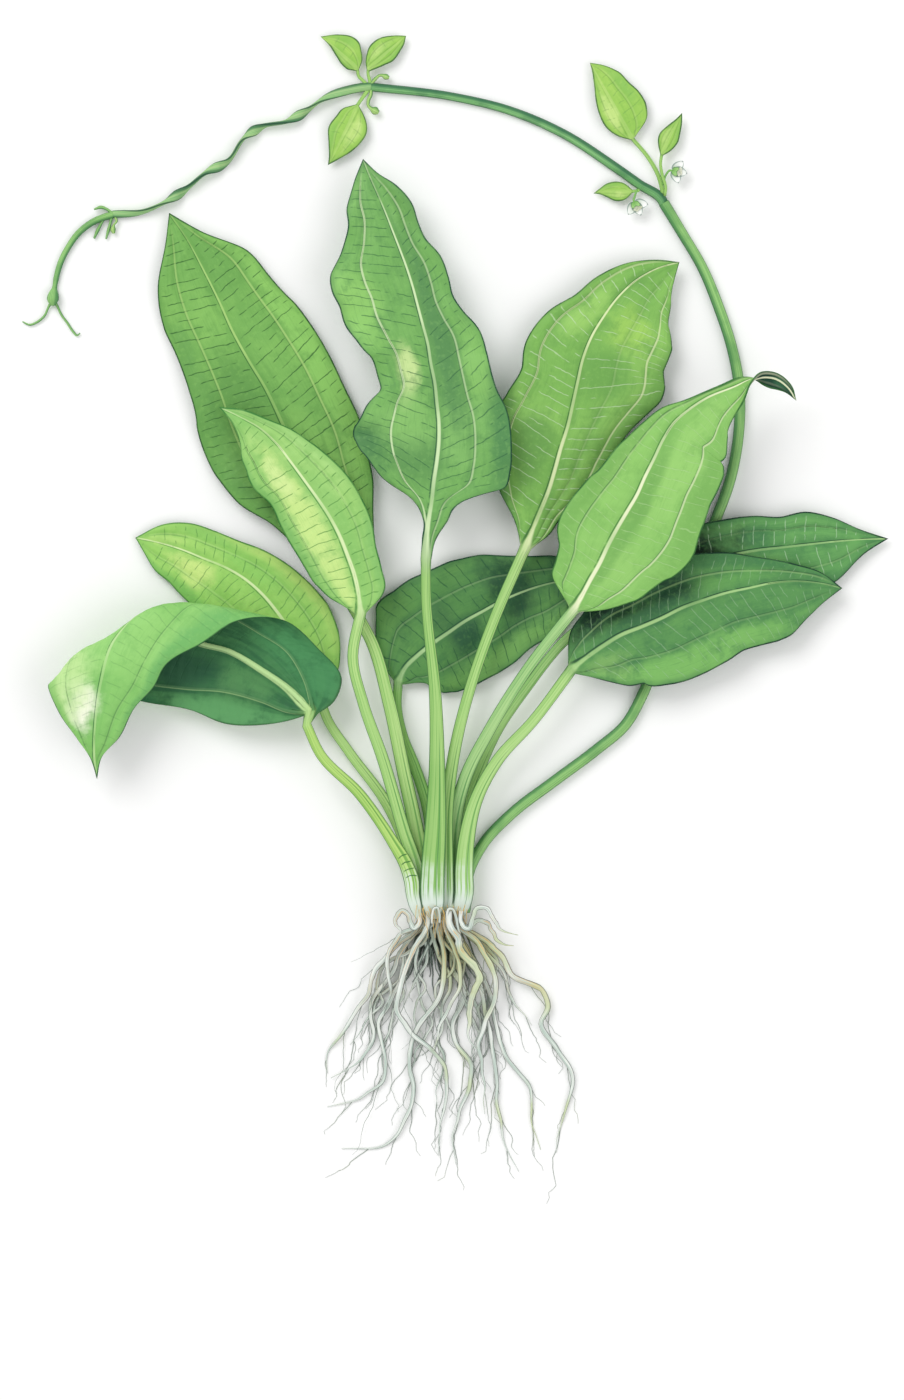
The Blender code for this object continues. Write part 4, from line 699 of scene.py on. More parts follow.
def leaf_skin(name, stalk_rows, blade, cup, waves=(), flipped=False, rows_scale=1.0,
              veins=(), relief=1.0, sunk=SUNK):
    """One leaf as a closed skin: a channelled stalk that opens into a veined blade."""
    columns = column_places(veins)
    share = np.abs(columns)
    blade_count = int(BLADE_ROWS * rows_scale)
    stalk_count = int(STALK_ROWS * rows_scale)
    along = np.linspace(0.0, 1.0, blade_count) ** 1.25
    if flipped:
        middle, halves = folded_surface(blade, along, columns)
    else:
        blade = [(*row, 0.0)[:6] for row in blade]
        middle, halves = blade_surface(blade, along, columns, cup)
    stalk_rows = extend_down(stalk_rows, sunk) if sunk else list(stalk_rows)
    if not flipped:
        stalk_rows.append((*blade[0][:3], 2 * blade[0][3]))
    stalk_path = smooth_curve(stalk_rows, np.linspace(0.0, 1.0, stalk_count))
    stalk_left, stalk_up = directions(stalk_path[:, :3], np.zeros(stalk_count))
    stalk_depth = np.minimum(STALK_MAX_DEPTH, STALK_DEPTH * stalk_path[:, 3]) / 2

    bow = np.sin(columns * math.pi / 2)
    aside = stalk_path[:, 3, None] / 2 * bow[None, :]
    stalk_middle = stalk_path[:, None, :3] + aside[:, :, None] * stalk_left[:, None, :]
    if not flipped:
        stalk_middle, stalk_path, stalk_depth = stalk_middle[:-1], stalk_path[:-1], stalk_depth[:-1]
        # the first rows of the blade still bunch their columns as the stalk does
        bunch = (1 - ramp(along, 0.0, 0.07))[:, None]
        centre = smooth_curve(blade, along)
        side_way, _ = directions(centre[:, :3], centre[:, 5])
        shift = halves * bunch * (bow - columns)[None, :]
        middle = middle + shift[:, :, None] * side_way[:, None, :]

    run = path_length(np.concatenate([stalk_path[:, :3], middle[:, len(columns) // 2]]))
    run_blade = run[len(stalk_path):, None]
    normals = surface_normals(middle)
    if waves:
        middle = middle + margin_waves(columns, along, waves)[:, :, None] * normals
        normals = surface_normals(middle)

    from_middle = halves * share[None, :]
    taper = (1 - 0.65 * along)[:, None]
    fade = (1 - ramp(along, 0.9, 1.0))[:, None] * np.minimum(1.0, halves / 8.0)
    ribs = MIDRIB_RISE * ridge(from_middle, MIDRIB_HALF_WIDTH * taper) * (1 - 0.5 * along)[:, None]
    for vein in veins:
        ribs = ribs + VEIN_RISE * ridge(np.abs(columns - vein) * halves, VEIN_HALF_WIDTH * taper) * fade
    bounds = np.array(sorted((-1.0, 0.0, 1.0, *veins)))
    slot = np.clip(np.searchsorted(bounds, columns, side="right") - 1, 0, len(bounds) - 2)
    between = (columns - bounds[slot]) / (bounds[slot + 1] - bounds[slot])
    pillow = 4 * between * (1 - between)
    ripple = np.sin(2 * math.pi * (run_blade + 0.35 * from_middle) / CROSS_SPACING)
    swell = (PILLOW * pillow[None, :] + CROSS_RIDGE * pillow[None, :] * ripple) * fade * relief
    middle = middle + swell[:, :, None] * normals * (-1.0 if flipped else 1.0)
    normals = surface_normals(middle)

    base_depth = stalk_depth[-1]
    round_share = (1 - ramp(along, 0.0, 0.09))[:, None]
    disc = np.cos(columns * math.pi / 2)[None, :]
    thin = BLADE_HALF * np.sqrt(np.maximum(0.0, 1 - share**6))[None, :] * np.minimum(1.0, halves / 3 + 0.05)
    upper_half = round_share * base_depth * disc + (1 - round_share) * (thin + ribs * relief)
    keel = MIDRIB_KEEL * ridge(from_middle, 1.5 * MIDRIB_HALF_WIDTH * taper) * (1 - along)[:, None] ** 0.7
    for vein in veins:
        keel = keel + 0.7 * VEIN_RISE * ridge(np.abs(columns - vein) * halves, VEIN_HALF_WIDTH) * fade
    lower_half = round_share * base_depth * disc + (1 - round_share) * (thin + keel * relief)
    tip_close = np.clip((1 - along) / 0.01, 0.0, 1.0)[:, None]
    upper_half, lower_half = upper_half * tip_close, lower_half * tip_close

    stalk_normals = np.broadcast_to(stalk_up[:len(stalk_path), None, :], stalk_middle.shape)
    channel = 1 - 0.45 * np.exp(-(columns / 0.42) ** 2)
    flutes = 1 + 0.05 * np.cos(9 * math.pi * columns)
    opening = ramp(np.linspace(0.0, 1.0, len(stalk_path)), 0.8, 1.0)[:, None]
    stalk_lower = stalk_depth[:, None] * disc * (flutes * (1 - opening) + opening)
    stalk_upper = stalk_depth[:, None] * disc * (channel * flutes * (1 - opening) + opening)

    if flipped:
        upper_half, lower_half = lower_half, upper_half
    surface = np.concatenate([stalk_middle, middle])
    normals = np.concatenate([stalk_normals, normals])
    top = surface + normals * np.concatenate([stalk_upper, upper_half])[:, :, None]
    bottom = surface - normals * np.concatenate([stalk_lower, lower_half])[:, :, None]
    top[:, :, 2] = np.maximum(top[:, :, 2], FLOOR_CLEARANCE + 0.1)
    bottom[:, :, 2] = np.maximum(bottom[:, :, 2], FLOOR_CLEARANCE)

    stalk_share = np.linspace(-1.0, 0.0, len(stalk_path), endpoint=False)
    along_all = np.concatenate([stalk_share, along])
    stalk_halves = np.broadcast_to(stalk_path[:, 3, None] / 2, stalk_middle.shape[:2])
    halves_all = np.concatenate([stalk_halves, halves])
    place = np.zeros((2, *surface.shape))
    size = np.zeros((2, *surface.shape))
    place[:, :, :, 0] = columns
    place[:, :, :, 1] = along_all[:, None]
    place[0, :, :, 2] = 0.0 if flipped else 1.0
    place[1, :, :, 2] = 1.0 if flipped else 0.0
    size[:, :, :, 0] = halves_all * share
    size[:, :, :, 1] = halves_all * (1 - share)
    size[:, :, :, 2] = run[:, None]

    places = {"leaf_place": place, "leaf_size": size}
    return add_sheets(name, surface, top, bottom, places)


# ---------------------------------------------------------------- finishes

def linear(code):
    """Linear red, green, blue and alpha of a six-figure colour code."""
    parts = [int(code[k:k + 2], 16) / 255 for k in (0, 2, 4)]
    parts = [part / 12.92 if part <= 0.04045 else ((part + 0.055) / 1.055) ** 2.4 for part in parts]
    return (*parts, 1.0)


class Wire:
    """A number that runs between nodes, so that a finish reads as a formula."""

    def __init__(self, finish, socket):
        self.finish = finish
        self.socket = socket

    def join(self, operation, *values):
        """The result of a sum or other operation on wires and plain numbers."""
        return self.finish.add("ShaderNodeMath", {"operation": operation}, dict(enumerate(values)))

    def __add__(self, other):
        return self.join("ADD", self, other)

    def __sub__(self, other):
        return self.join("SUBTRACT", self, other)

    def __mul__(self, other):
        return self.join("MULTIPLY", self, other)

    def __truediv__(self, other):
        return self.join("DIVIDE", self, other)

    def __radd__(self, other):
        return self.join("ADD", other, self)

    def __rsub__(self, other):
        return self.join("SUBTRACT", other, self)

    def __rmul__(self, other):
        return self.join("MULTIPLY", other, self)

    def size(self):
        return self.join("ABSOLUTE", self)

    def most(self, other):
        return self.join("MAXIMUM", self, other)

    def wave(self):
        return self.join("SINE", self)

    def root(self):
        return self.join("SQRT", self)

    def rise(self, low, high):
        """0 below `low`, 1 above `high`, smooth between; a falling step where low is above high."""
        if low > high:
            return 1 - self.rise(high, low)
        settings = {"interpolation_type": "SMOOTHSTEP"}
        return self.finish.add("ShaderNodeMapRange", settings, {0: self, 1: low, 2: high, 3: 0.0, 4: 1.0})


class Nodes:
    """A node tree, with its nodes added by short calls."""

    def __init__(self, tree):
        self.tree = tree

    def add(self, kind, settings=None, inputs=None, output=0):
        """A new node with its settings and inputs; gives the wire from one of its outputs."""
        node = self.tree.nodes.new(kind)
        for key, value in (settings or {}).items():
            setattr(node, key, value)
        for key, value in (inputs or {}).items():
            self.feed(node.inputs[key], value)
        return Wire(self, node.outputs[output])

    def feed(self, socket, value):
        if isinstance(value, Wire):
            self.tree.links.new(value.socket, socket)
        else:
            socket.default_value = value

    def split(self, wire):
        """The x, y and z of a vector, each as a wire."""
        first = self.add("ShaderNodeSeparateXYZ", inputs={0: wire})
        return [Wire(self, output) for output in first.socket.node.outputs]

    def vector(self, x, y, z):
        return self.add("ShaderNodeCombineXYZ", inputs={0: x, 1: y, 2: z})

    def grain(self, scale, where, detail=3.0, rough=0.5):
        return self.add("ShaderNodeTexNoise", None,
                        {"Vector": where, "Scale": scale, "Detail": detail, "Roughness": rough})


class Finish(Nodes):
    """One material of the plant."""

    def __init__(self, name, specular):
        self.material = bpy.data.materials.new(name)
        self.material.use_nodes = True
        super().__init__(self.material.node_tree)
        self.shader = self.tree.nodes["Principled BSDF"]
        self.shader.inputs["Specular IOR Level"].default_value = specular
        self.spot = self.add("ShaderNodeTexCoord", output="Object")

    def place(self, name):
        """The three numbers that the skin stores under `name`."""
        return self.split(self.add("ShaderNodeAttribute", {"attribute_name": name}, output="Vector"))

    def noise(self, scale, detail=3.0, rough=0.5):
        """Grain of one scale in every direction."""
        return self.grain(scale, self.spot, detail, rough)

    def drawn(self, x, y, z, detail=3.0):
        """Grain drawn out, with a scale of its own in each direction."""
        return self.grain(1.0, self.vector(x, y, z), detail)

    def blend(self, mask, under, over):
        """The colour `over` where mask is 1 and `under` where it is 0; colours may be codes."""
        under, over = [linear(tint) if isinstance(tint, str) else tint for tint in (under, over)]
        return self.add("ShaderNodeMix", {"data_type": "RGBA"}, {0: mask, 6: under, 7: over}, output=2)

    def finish(self, colour, roughness, height, depth=0.0004):
        """Connects the finished colour, roughness and relief, and gives the material."""
        self.feed(self.shader.inputs["Base Color"], colour)
        self.feed(self.shader.inputs["Roughness"], roughness)
        bump = self.add("ShaderNodeBump", None, {"Height": height, "Distance": depth, "Strength": 0.5})
        self.feed(self.shader.inputs["Normal"], bump)
        return self.material


def wash(finish, colour, tints_and_painted_light, across, along, rough):
    """Lays soft patches of colour, with uneven edges, over `colour`: the leaf's own tints, painted shadows
    and painted highlights.
    """
    for left, up, half_width, half_length, tint, strength in tints_and_painted_light:
        aside = (across - left) / half_width
        ahead = (along - up) / half_length
        reach = (aside * aside + ahead * ahead).root() + (rough - 0.5) * 1.1
        colour = finish.blend(reach.rise(1.15, 0.35) * strength, colour, tint)
    return colour


def leaf_finish(name, veins, body, light, dark, vein, edge, stalk, strokes, tints_and_painted_light,
                underside=UNDERSIDE, midrib=1.0, sheath=1.0, bars=0.0):
    """A sword leaf: washed greens, pale midrib, side veins, cross veins, dark margin, streaky stalk."""
    f = Finish(name, specular=0.18)
    across, along, upper = f.place("leaf_place")
    from_middle, from_margin, run = f.place("leaf_size")
    share = across.size()
    broad = f.noise(28.0)
    patch = f.noise(95.0, 4.0, 0.65)
    fine = f.noise(480.0)
    streaks = f.drawn(across * 10.0, run * 0.035, 0.0)
    hairs = f.drawn(across * 46.0, run * 0.09, 5.0, 2.0)

    blade = f.blend(broad.rise(0.42, 0.66) * 0.7, body, light)
    blade = f.blend(streaks.rise(0.50, 0.72) * 0.35, blade, dark)
    blade = wash(f, blade, tints_and_painted_light, across, along, patch)
    blade = f.blend(patch.rise(0.50, 0.72) * 0.45, blade, dark)
    blade = f.blend(hairs.rise(0.52, 0.7) * 0.22, blade, dark)
    blade = f.blend(fine.rise(0.5, 0.3) * 0.2, blade, light)

    # side veins and midrib, and the shade beside them
    breadth = from_margin / (1 - share).most(0.02)
    beside = from_middle.rise(4.5, 1.0) * 0.45
    pale = share * 0.0
    line = share * 0.0
    for place, paleness, darkness in veins:
        distance = (across - place) * breadth
        fading = along.rise(1.0, 0.88)
        beside = beside.most(distance.size().rise(3.0, 0.6) * 0.35)
        pale = pale.most(distance.size().rise(0.8, 0.3) * fading * paleness)
        line = line.most((distance - 0.65).size().rise(0.42, 0.12) * fading * darkness)
    thick = 1.45 - along.most(0.0)
    rib = (from_middle / thick).rise(1.0, 0.5)
    # `line` marks a strip along one side of each vein and of the midrib: painted shadow on the upper side,
    # pale on the underside
    line = line.most((across * breadth / thick - 1.15).size().rise(0.40, 0.12) * 0.8 * midrib)
    glint = f.drawn(0.0, run * 0.02, 1.0, 2.0).rise(0.35, 0.55)
    blade = f.blend(beside * patch.rise(0.3, 0.6), blade, dark)

    # short cross veins between the ribs, each its own length
    tint, strength, slope = strokes
    wander = f.noise(170.0, 2.0) * 2.2
    beat = (run - slope * from_middle + wander) * (2 * math.pi / CROSS_SPACING)
    gate = f.drawn(across * 2.4, run * 0.19, 3.0, 2.0).rise(0.43, 0.50)
    between = from_middle.rise(1.4, 2.4) * from_margin.rise(1.2, 3.0)
    cross = beat.wave().rise(0.93, 0.99) * gate * between
    blade = f.blend(cross * strength, blade, tint)
    # painted shadow lines beside the veins
    blade = f.blend(line * patch.rise(0.3, 0.5), blade, edge)
    blade = f.blend(pale, blade, vein)
    blade = f.blend(rib * (0.45 + 0.5 * glint) * midrib, blade, vein)
    margin = from_margin.rise(1.0, 0.5) * (0.65 + 0.35 * patch.rise(0.35, 0.55))
    blade = f.blend(from_margin.rise(4.5, 0.5) * broad.rise(0.4, 0.6) * 0.5, blade, dark)
    blade = f.blend(margin, blade, edge)

    # underside: two duller greens with the same ribs
    below = f.blend(streaks.rise(0.4, 0.65), underside["body"], underside["dark"])
    below = wash(f, below, underside["tints_and_painted_light"], across, along, patch)
    below = f.blend(patch.rise(0.5, 0.75) * 0.5, below, underside["dark"])
    below = f.blend(beside * 0.8, below, underside["dark"])
    below = f.blend(pale.most((along.rise(0.75, 0.2) * line).most(0.0)) * 0.8, below, vein)
    below_rib = (from_middle / (thick + along.rise(0.3, 0.0) * 1.4)).rise(1.0, 0.6)
    below = f.blend(below_rib, below, vein)
    below = f.blend(margin * 0.8, below, edge)
    blade = f.blend(upper, below, blade)

    #  stalk: streaked greens, painted shade over the half towards its left margin, dark sides, whitish where
    #      it sheathes the crown
    lines = f.drawn(across * 7.0 + run * 0.004, run * 0.012, 0.0)
    stripe = f.blend(lines.rise(0.46, 0.64), stalk[0], stalk[1])
    # painted shade: the half towards the left margin is darker
    stripe = f.blend(across.rise(0.0, 0.6) * 0.45, stripe, stalk[1])
    stripe = f.blend(broad.rise(0.45, 0.62) * 0.2, stripe, stalk[1])
    reach = run + (patch - 0.5) * 22.0
    white = reach.rise(34.0, 14.0) * run.rise(17.0, 8.0).most(lines.rise(0.56, 0.44))
    stripe = f.blend(white * 0.85 * sheath, stripe, "E2ECE8")
    groove = (across + 0.22).size().rise(0.05, 0.02) * lines.rise(0.42, 0.52)
    stripe = f.blend(groove * 0.7, stripe, "3F7F45")
    bands = ((run + 0.3 * from_middle) * 1.7 + patch * 3.0).wave().rise(0.80, 0.97)
    notch = bands * (across + 0.1).size().rise(0.6, 0.4)
    stripe = f.blend(notch * run.rise(19.0, 22.0) * run.rise(37.0, 33.0) * bars, stripe, "2E6A35")
    stripe = f.blend(share.rise(0.62, 0.82) * 0.85, stripe, "2F6638")
    opened = along.rise(-0.06, 0.035).most(from_middle.rise(4.0, 7.0))
    colour = f.blend(opened, stripe, blade)
    height = fine * 0.5 + patch * 0.6 + lines * 0.3 - cross * 0.5
    return f.finish(colour, 0.40 + 0.22 * patch, height)


def stem_finish(name, body, light, dark, edge, streak=10.0, shaded=0.5, side=1.0):
    """A stem: lengthwise streaks, one shaded side, thin dark outlines, fine grain."""
    f = Finish(name, specular=0.25)
    cosine, sine, run = f.place("stem_place")
    streaks = f.drawn(cosine * streak, sine * streak, run * 0.018)
    patch = f.noise(70.0)
    colour = f.blend(streaks.rise(0.4, 0.6), body, light)
    colour = f.blend(patch.rise(0.45, 0.7) * 0.4, colour, dark)
    shade = (cosine * side + streaks * 0.5).rise(0.9 - shaded, 1.15 - 0.5 * shaded)
    colour = f.blend(shade * 0.8, colour, dark)
    colour = f.blend(cosine.size().rise(0.80, 0.96) * 0.85, colour, edge)
    return f.finish(colour, 0.42 + 0.25 * streaks, streaks + patch * 0.5)


def root_finish(name, pale, grey, olive, edge, rusty):
    """Roots: off-white to grey green with dark outlines, golden in places near the crown."""
    f = Finish(name, specular=0.25)
    y = f.split(f.spot)[1]
    cosine, sine, run = f.place("stem_place")
    patch = f.noise(60.0)
    streaks = f.drawn(cosine * 2.0, sine * 2.0, run * 0.05)
    fibre = f.drawn(cosine * 3.0, sine * 3.0, run * 0.03 + 9.0)
    colour = f.blend(streaks.rise(0.40, 0.62), pale, grey)
    colour = f.blend(f.noise(24.0, 2.0).rise(0.52, 0.64) * 0.6, colour, olive)
    rust = y.rise(-0.060, -0.015) * f.noise(70.0, 2.0).rise(0.42, 0.52) * fibre.rise(0.53, 0.58)
    colour = f.blend(rust * rusty, colour, "DCAA50")
    # dark outlines along both sides of a root; the wider, darker one is painted shade on one side
    colour = f.blend(cosine.rise(0.60, 0.86) * 0.85, colour, edge)
    colour = f.blend(cosine.rise(-0.74, -0.92) * 0.7, colour, edge)
    return f.finish(colour, 0.45 + 0.2 * patch, streaks + patch, depth=0.0003)


def crown_finish(name):
    """Crown: pale sheath bases, going golden brown towards the roots."""
    f = Finish(name, specular=0.25)
    x, y, z = f.split(f.spot)
    fibre = f.drawn(x * 700.0, y * 60.0, z * 700.0)
    colour = f.blend(fibre.rise(0.40, 0.60), "DCE6D6", "A9C296")
    edge = y - (fibre - 0.5) * 0.016
    colour = f.blend(edge.rise(0.0, -0.005) * 0.7, colour, "D9BC7C")
    colour = f.blend(edge.rise(-0.003, -0.007), colour, "6E6A52")
    return f.finish(colour, 0.45 + 0.2 * fibre, fibre, depth=0.0006)


def plain_finish(name, body, light, edge):
    """Small parts: one mottled colour."""
    f = Finish(name, specular=0.3)
    patch = f.noise(220.0)
    fine = f.noise(900.0, 2.0)
    colour = f.blend(patch.rise(0.35, 0.65), body, light)
    colour = f.blend(fine.rise(0.55, 0.8) * 0.3, colour, edge)
    return f.finish(colour, 0.42 + 0.2 * patch, patch + fine, depth=0.0002)


def petal_finish(name, body, base, edge):
    """Petals and sepals: an even colour, deeper at the base, with a thin outline."""
    f = Finish(name, specular=0.3)
    aside, reach, _ = f.place("petal_place")
    patch = f.noise(300.0)
    colour = f.blend(reach.rise(0.75, 0.1) * 0.7, body, base)
    colour = f.blend(patch.rise(0.5, 0.7) * 0.3, colour, base)
    outline = aside.rise(0.62, 0.88).most(reach.rise(0.86, 0.97))
    colour = f.blend(outline * 0.8, colour, edge)
    return f.finish(colour, 0.45 + 0.2 * patch, patch, depth=0.0002)


# ---------------------------------------------------------------- side roots

def rootlet_tree():
    """Thin side roots that spread from a path, heading down -Y and wandering."""
    tree = bpy.data.node_groups.new("side roots", "GeometryNodeTree")
    tree.interface.new_socket("Path", in_out="INPUT", socket_type="NodeSocketGeometry")
    kinds = {"Seed": "NodeSocketInt", "Finish": "NodeSocketMaterial"}
    for label in ("Spacing", "Shortest", "Longest", "Radius", "Spread", "Wander", "Ripple", "Follow",
                  "Seed", "Finish"):
        kind = kinds.get(label, "NodeSocketFloat")
        tree.interface.new_socket(label, in_out="INPUT", socket_type=kind)
    tree.interface.new_socket("Side roots", in_out="OUTPUT", socket_type="NodeSocketGeometry")
    n = Nodes(tree)
    inlet = tree.nodes.new("NodeGroupInput")
    given = {output.name: Wire(n, output) for output in inlet.outputs if output.name}
    path = n.add("GeometryNodeMeshToCurve", None, {"Mesh": given["Path"]})
    starts = n.add("GeometryNodeCurveToPoints", {"mode": "LENGTH"}, {
        "Curve": path, "Length": given["Spacing"]})
    line = n.add("GeometryNodeCurvePrimitiveLine", None, {"Start": (0, 0, 0), "End": (0, -1, 0)})
    line = n.add("GeometryNodeResampleCurve", {"mode": "COUNT"}, {"Curve": line, "Count": 16})
    x, y, z = n.split(Wire(n, starts.socket.node.outputs["Tangent"]))
    heading = n.add("ShaderNodeMath", {"operation": "ARCTAN2"}, {0: x, 1: 0 - y}) * given["Follow"]
    turn = n.add("FunctionNodeRandomValue", {"data_type": "FLOAT_VECTOR"}, {
        "Min": n.vector(-0.05, 0.0, heading - given["Spread"]),
        "Max": n.vector(0.35, 0.0, heading + given["Spread"]), "Seed": given["Seed"]})
    length = n.add("FunctionNodeRandomValue", {"data_type": "FLOAT"}, {
        2: given["Shortest"], 3: given["Longest"], "Seed": given["Seed"] + 7}, output=1)
    lines = n.add("GeometryNodeInstanceOnPoints", None, {
        "Points": starts, "Instance": line, "Rotation": turn, "Scale": length})
    lines = n.add("GeometryNodeRealizeInstances", None, {0: lines})
    reach = n.add("GeometryNodeSplineParameter")
    spot = n.add("GeometryNodeInputPosition")
    drift = n.add("ShaderNodeTexNoise", {"noise_dimensions": "4D"}, {
        "Vector": spot, "W": given["Seed"] * 3.7, "Scale": given["Ripple"], "Detail": 2.5}, output="Color")
    x, y, z = n.split(drift)
    sway = given["Wander"] * reach
    offset = n.vector((x - 0.5) * sway * 2.4, (y - 0.5) * sway, (z - 0.6) * sway)
    moved = n.add("GeometryNodeSetPosition", None, {"Geometry": lines, "Offset": offset})
    x, y, z = n.split(spot)
    moved = n.add("GeometryNodeSetPosition", None, {
        "Geometry": moved, "Position": n.vector(x, y, z.most(given["Radius"] + 0.0001))})
    taper = given["Radius"] * (1.15 - 0.75 * reach)
    moved = n.add("GeometryNodeSetCurveRadius", None, {"Curve": moved, "Radius": taper})
    ring = n.add("GeometryNodeCurvePrimitiveCircle", None, {"Resolution": 4, "Radius": 1.0})
    skin = n.tree.nodes.new("GeometryNodeCurveToMesh")
    n.feed(skin.inputs["Curve"], moved)
    n.feed(skin.inputs["Profile Curve"], ring)
    skin.inputs["Fill Caps"].default_value = True
    if "Scale" in skin.inputs:
        n.feed(skin.inputs["Scale"], taper)
    painted = n.add("GeometryNodeSetMaterial", None, {
        0: Wire(n, skin.outputs[0]), "Material": given["Finish"]})
    outlet = tree.nodes.new("NodeGroupOutput")
    tree.links.new(painted.socket, outlet.inputs[0])
    return tree


def grow_side_roots(name, tree, paths, values):
    """A plain mesh of side roots along `paths`, which are lists of millimetre points."""
    vertices, edges = [], []
    for path in paths:
        first = len(vertices)
        vertices += [tuple(point) for point in np.asarray(path) * MM]
        edges += [(first + k, first + k + 1) for k in range(len(path) - 1)]
    mesh = bpy.data.meshes.new(name + " path")
    mesh.from_pydata(vertices, edges, [])
    carrier = add_object(name + " path", mesh)
    modifier = carrier.modifiers.new("side roots", "NODES")
    modifier.node_group = tree
    for item in tree.interface.items_tree:
        if item.in_out == "INPUT" and item.name in values:
            modifier[item.identifier] = values[item.name]
    bpy.context.view_layer.update()
    whole = carrier.evaluated_get(bpy.context.evaluated_depsgraph_get())
    grown = bpy.data.meshes.new_from_object(whole)
    bpy.data.objects.remove(carrier)
    bpy.data.meshes.remove(mesh)
    grown.name = name
    grown.shade_smooth()
    return add_object(name, grown)


# ---------------------------------------------------------------- the plant

def fit(piece, finish, slot, *nodes):
    """Gives a piece its finish and ties it to the frame."""
    if finish is not None:
        piece.data.materials.clear()
        piece.data.materials.append(finish)
    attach(piece, BODY)
    if nodes:
        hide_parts(*nodes)


def rod_rows(rows):
    """Rows of x, y, z, radius as rows of a tube."""
    return [(x, y, z, radius, radius, 0.0) for x, y, z, radius in rows]


def root_rows(chance, thick, thin, route):
    """A root's route with its radius, and small bends and knots along it."""
    x, y, z = route[0]
    route = [(x, y + ROOT_SUNK, z)] + list(route)
    points = smooth_curve(route, np.linspace(0.0, 1.0, max(10, 5 * len(route))))
    count = len(points)
    share = np.linspace(0.0, 1.0, count)
    for axis, reach in ((0, 0.55), (2, 0.3)):
        bends = 1 + count // 3
        bend = np.interp(share, np.linspace(0, 1, bends), chance.normal(0, reach, bends))
        points[:, axis] += bend * ramp(share, 0.05, 0.2)
    radius = 1.1 * (thick + (thin - thick) * share**2.4)
    radius = radius * (1 + chance.normal(0, 0.07, count)) * (1 - 0.72 * ramp(share, 0.72, 1.0))
    points[:, 2] = np.maximum(points[:, 2], radius + 0.1)
    return np.column_stack([points, radius, radius, np.zeros(count)])


def crown_lump(name, sides=84, rings=22):
    """The rootstock: a rounded lump, fluted by the sheaths that wrap it."""
    vertices = []
    for ring in range(rings):
        share = ring / (rings - 1)
        y = CROWN_BOTTOM + (CROWN_TOP - CROWN_BOTTOM) * share
        swell = (1 - abs(2 * share - 1) ** 3) ** 0.5 * 0.94 + 0.02
        for side in range(sides):
            angle = 2 * math.pi * side / sides
            flute = 1 + 0.035 * math.cos(9 * angle + 3 * share) + 0.02 * math.cos(23 * angle - 5 * share)
            x, z = [math.copysign(abs(part) ** 0.85, part) for part in (math.cos(angle), math.sin(angle))]
            z = CROWN_HEIGHT + CROWN_HALF_HEIGHT * swell * flute * z
            vertices.append((CROWN_HALF_WIDTH * swell * flute * x, y, max(0.2, z)))
    outward = [face[:1] + face[:0:-1] for face in ring_faces(rings, sides)]
    return add_mesh(name, vertices, outward)


def second_roots(chance, count):
    """Routes of the thinner roots that fill the gaps between the main ones."""
    routes = []
    stride = 9.0
    for number in range(count):
        lean = -1 + 2 * (number + chance.rand()) / count
        x = 11.0 * lean
        z = 3.5 + 9.0 * chance.rand() * (1 - 0.4 * abs(lean))
        heading = -math.pi / 2 + 0.62 * lean + chance.normal(0, 0.12)
        length = chance.uniform(38, 100) * (1 - 0.25 * abs(lean))
        steps = int(length / stride) + 2
        route = [(x, ROOT_START, z)]
        for step in range(steps):
            turn = 0.5 * math.sin(step * chance.uniform(0.8, 1.5) + number) + chance.normal(0, 0.16)
            way = heading + turn
            heading += (-math.pi / 2 - heading) * 0.12
            x, y, z = route[-1]
            x += stride * math.cos(way)
            y += stride * math.sin(way)
            route.append((x, y, max(1.0, z * 0.78)))
        routes.append((chance.uniform(0.7, 1.15), 0.3, route))
    return routes


def petal(name, base, way, length, width, curl, tilt):
    """One small rounded petal from `base` towards the direction `way`, on its own."""
    way = np.array(way, dtype=float)
    way /= np.linalg.norm(way)
    side = np.cross((0.0, 0.0, 1.0), way)
    side /= max(np.linalg.norm(side), 1e-6)
    rise = np.cross(way, side)
    rows, columns = 9, 9
    top, bottom = [], []
    for row in range(rows):
        s = row / (rows - 1)
        bulge = math.sin(math.pi * min(1.0, 0.12 + 0.88 * s) ** 0.75) ** 0.7
        half = max(0.02, width / 2 * bulge)
        for column in range(columns):
            u = column / (columns - 1) * 2 - 1
            point = (np.array(base) + way * (length * s) + side * (half * u)
                     + rise * (tilt * s + curl * (s * s - s) * 2 + 0.4 * width * 0.25 * u * u))
            thick = 0.09 * (1 - u**4)
            top.append(point + rise * thick)
            bottom.append(point - rise * thick)
    places = [(abs(k % columns / (columns - 1) * 2 - 1), k // columns / (rows - 1), 0.0)
              for k in range(rows * columns)] * 2
    faces = []
    half_count = rows * columns
    for row in range(rows - 1):
        for column in range(columns - 1):
            a = row * columns + column
            b = half_count + a
            faces.append((a, a + columns, a + columns + 1, a + 1))
            faces.append((b, b + 1, b + columns + 1, b + columns))
    ring = [(0, c) for c in range(columns)]
    ring += [(r, columns - 1) for r in range(1, rows)]
    ring += [(rows - 1, c) for c in range(columns - 2, -1, -1)]
    ring += [(r, 0) for r in range(rows - 2, 0, -1)]
    numbers = [r * columns + c for r, c in ring]
    for a, b in zip(numbers, numbers[1:] + numbers[:1]):
        faces.append((a, b, half_count + b, half_count + a))
    return add_mesh(name, top + bottom, faces, {"petal_place": places})


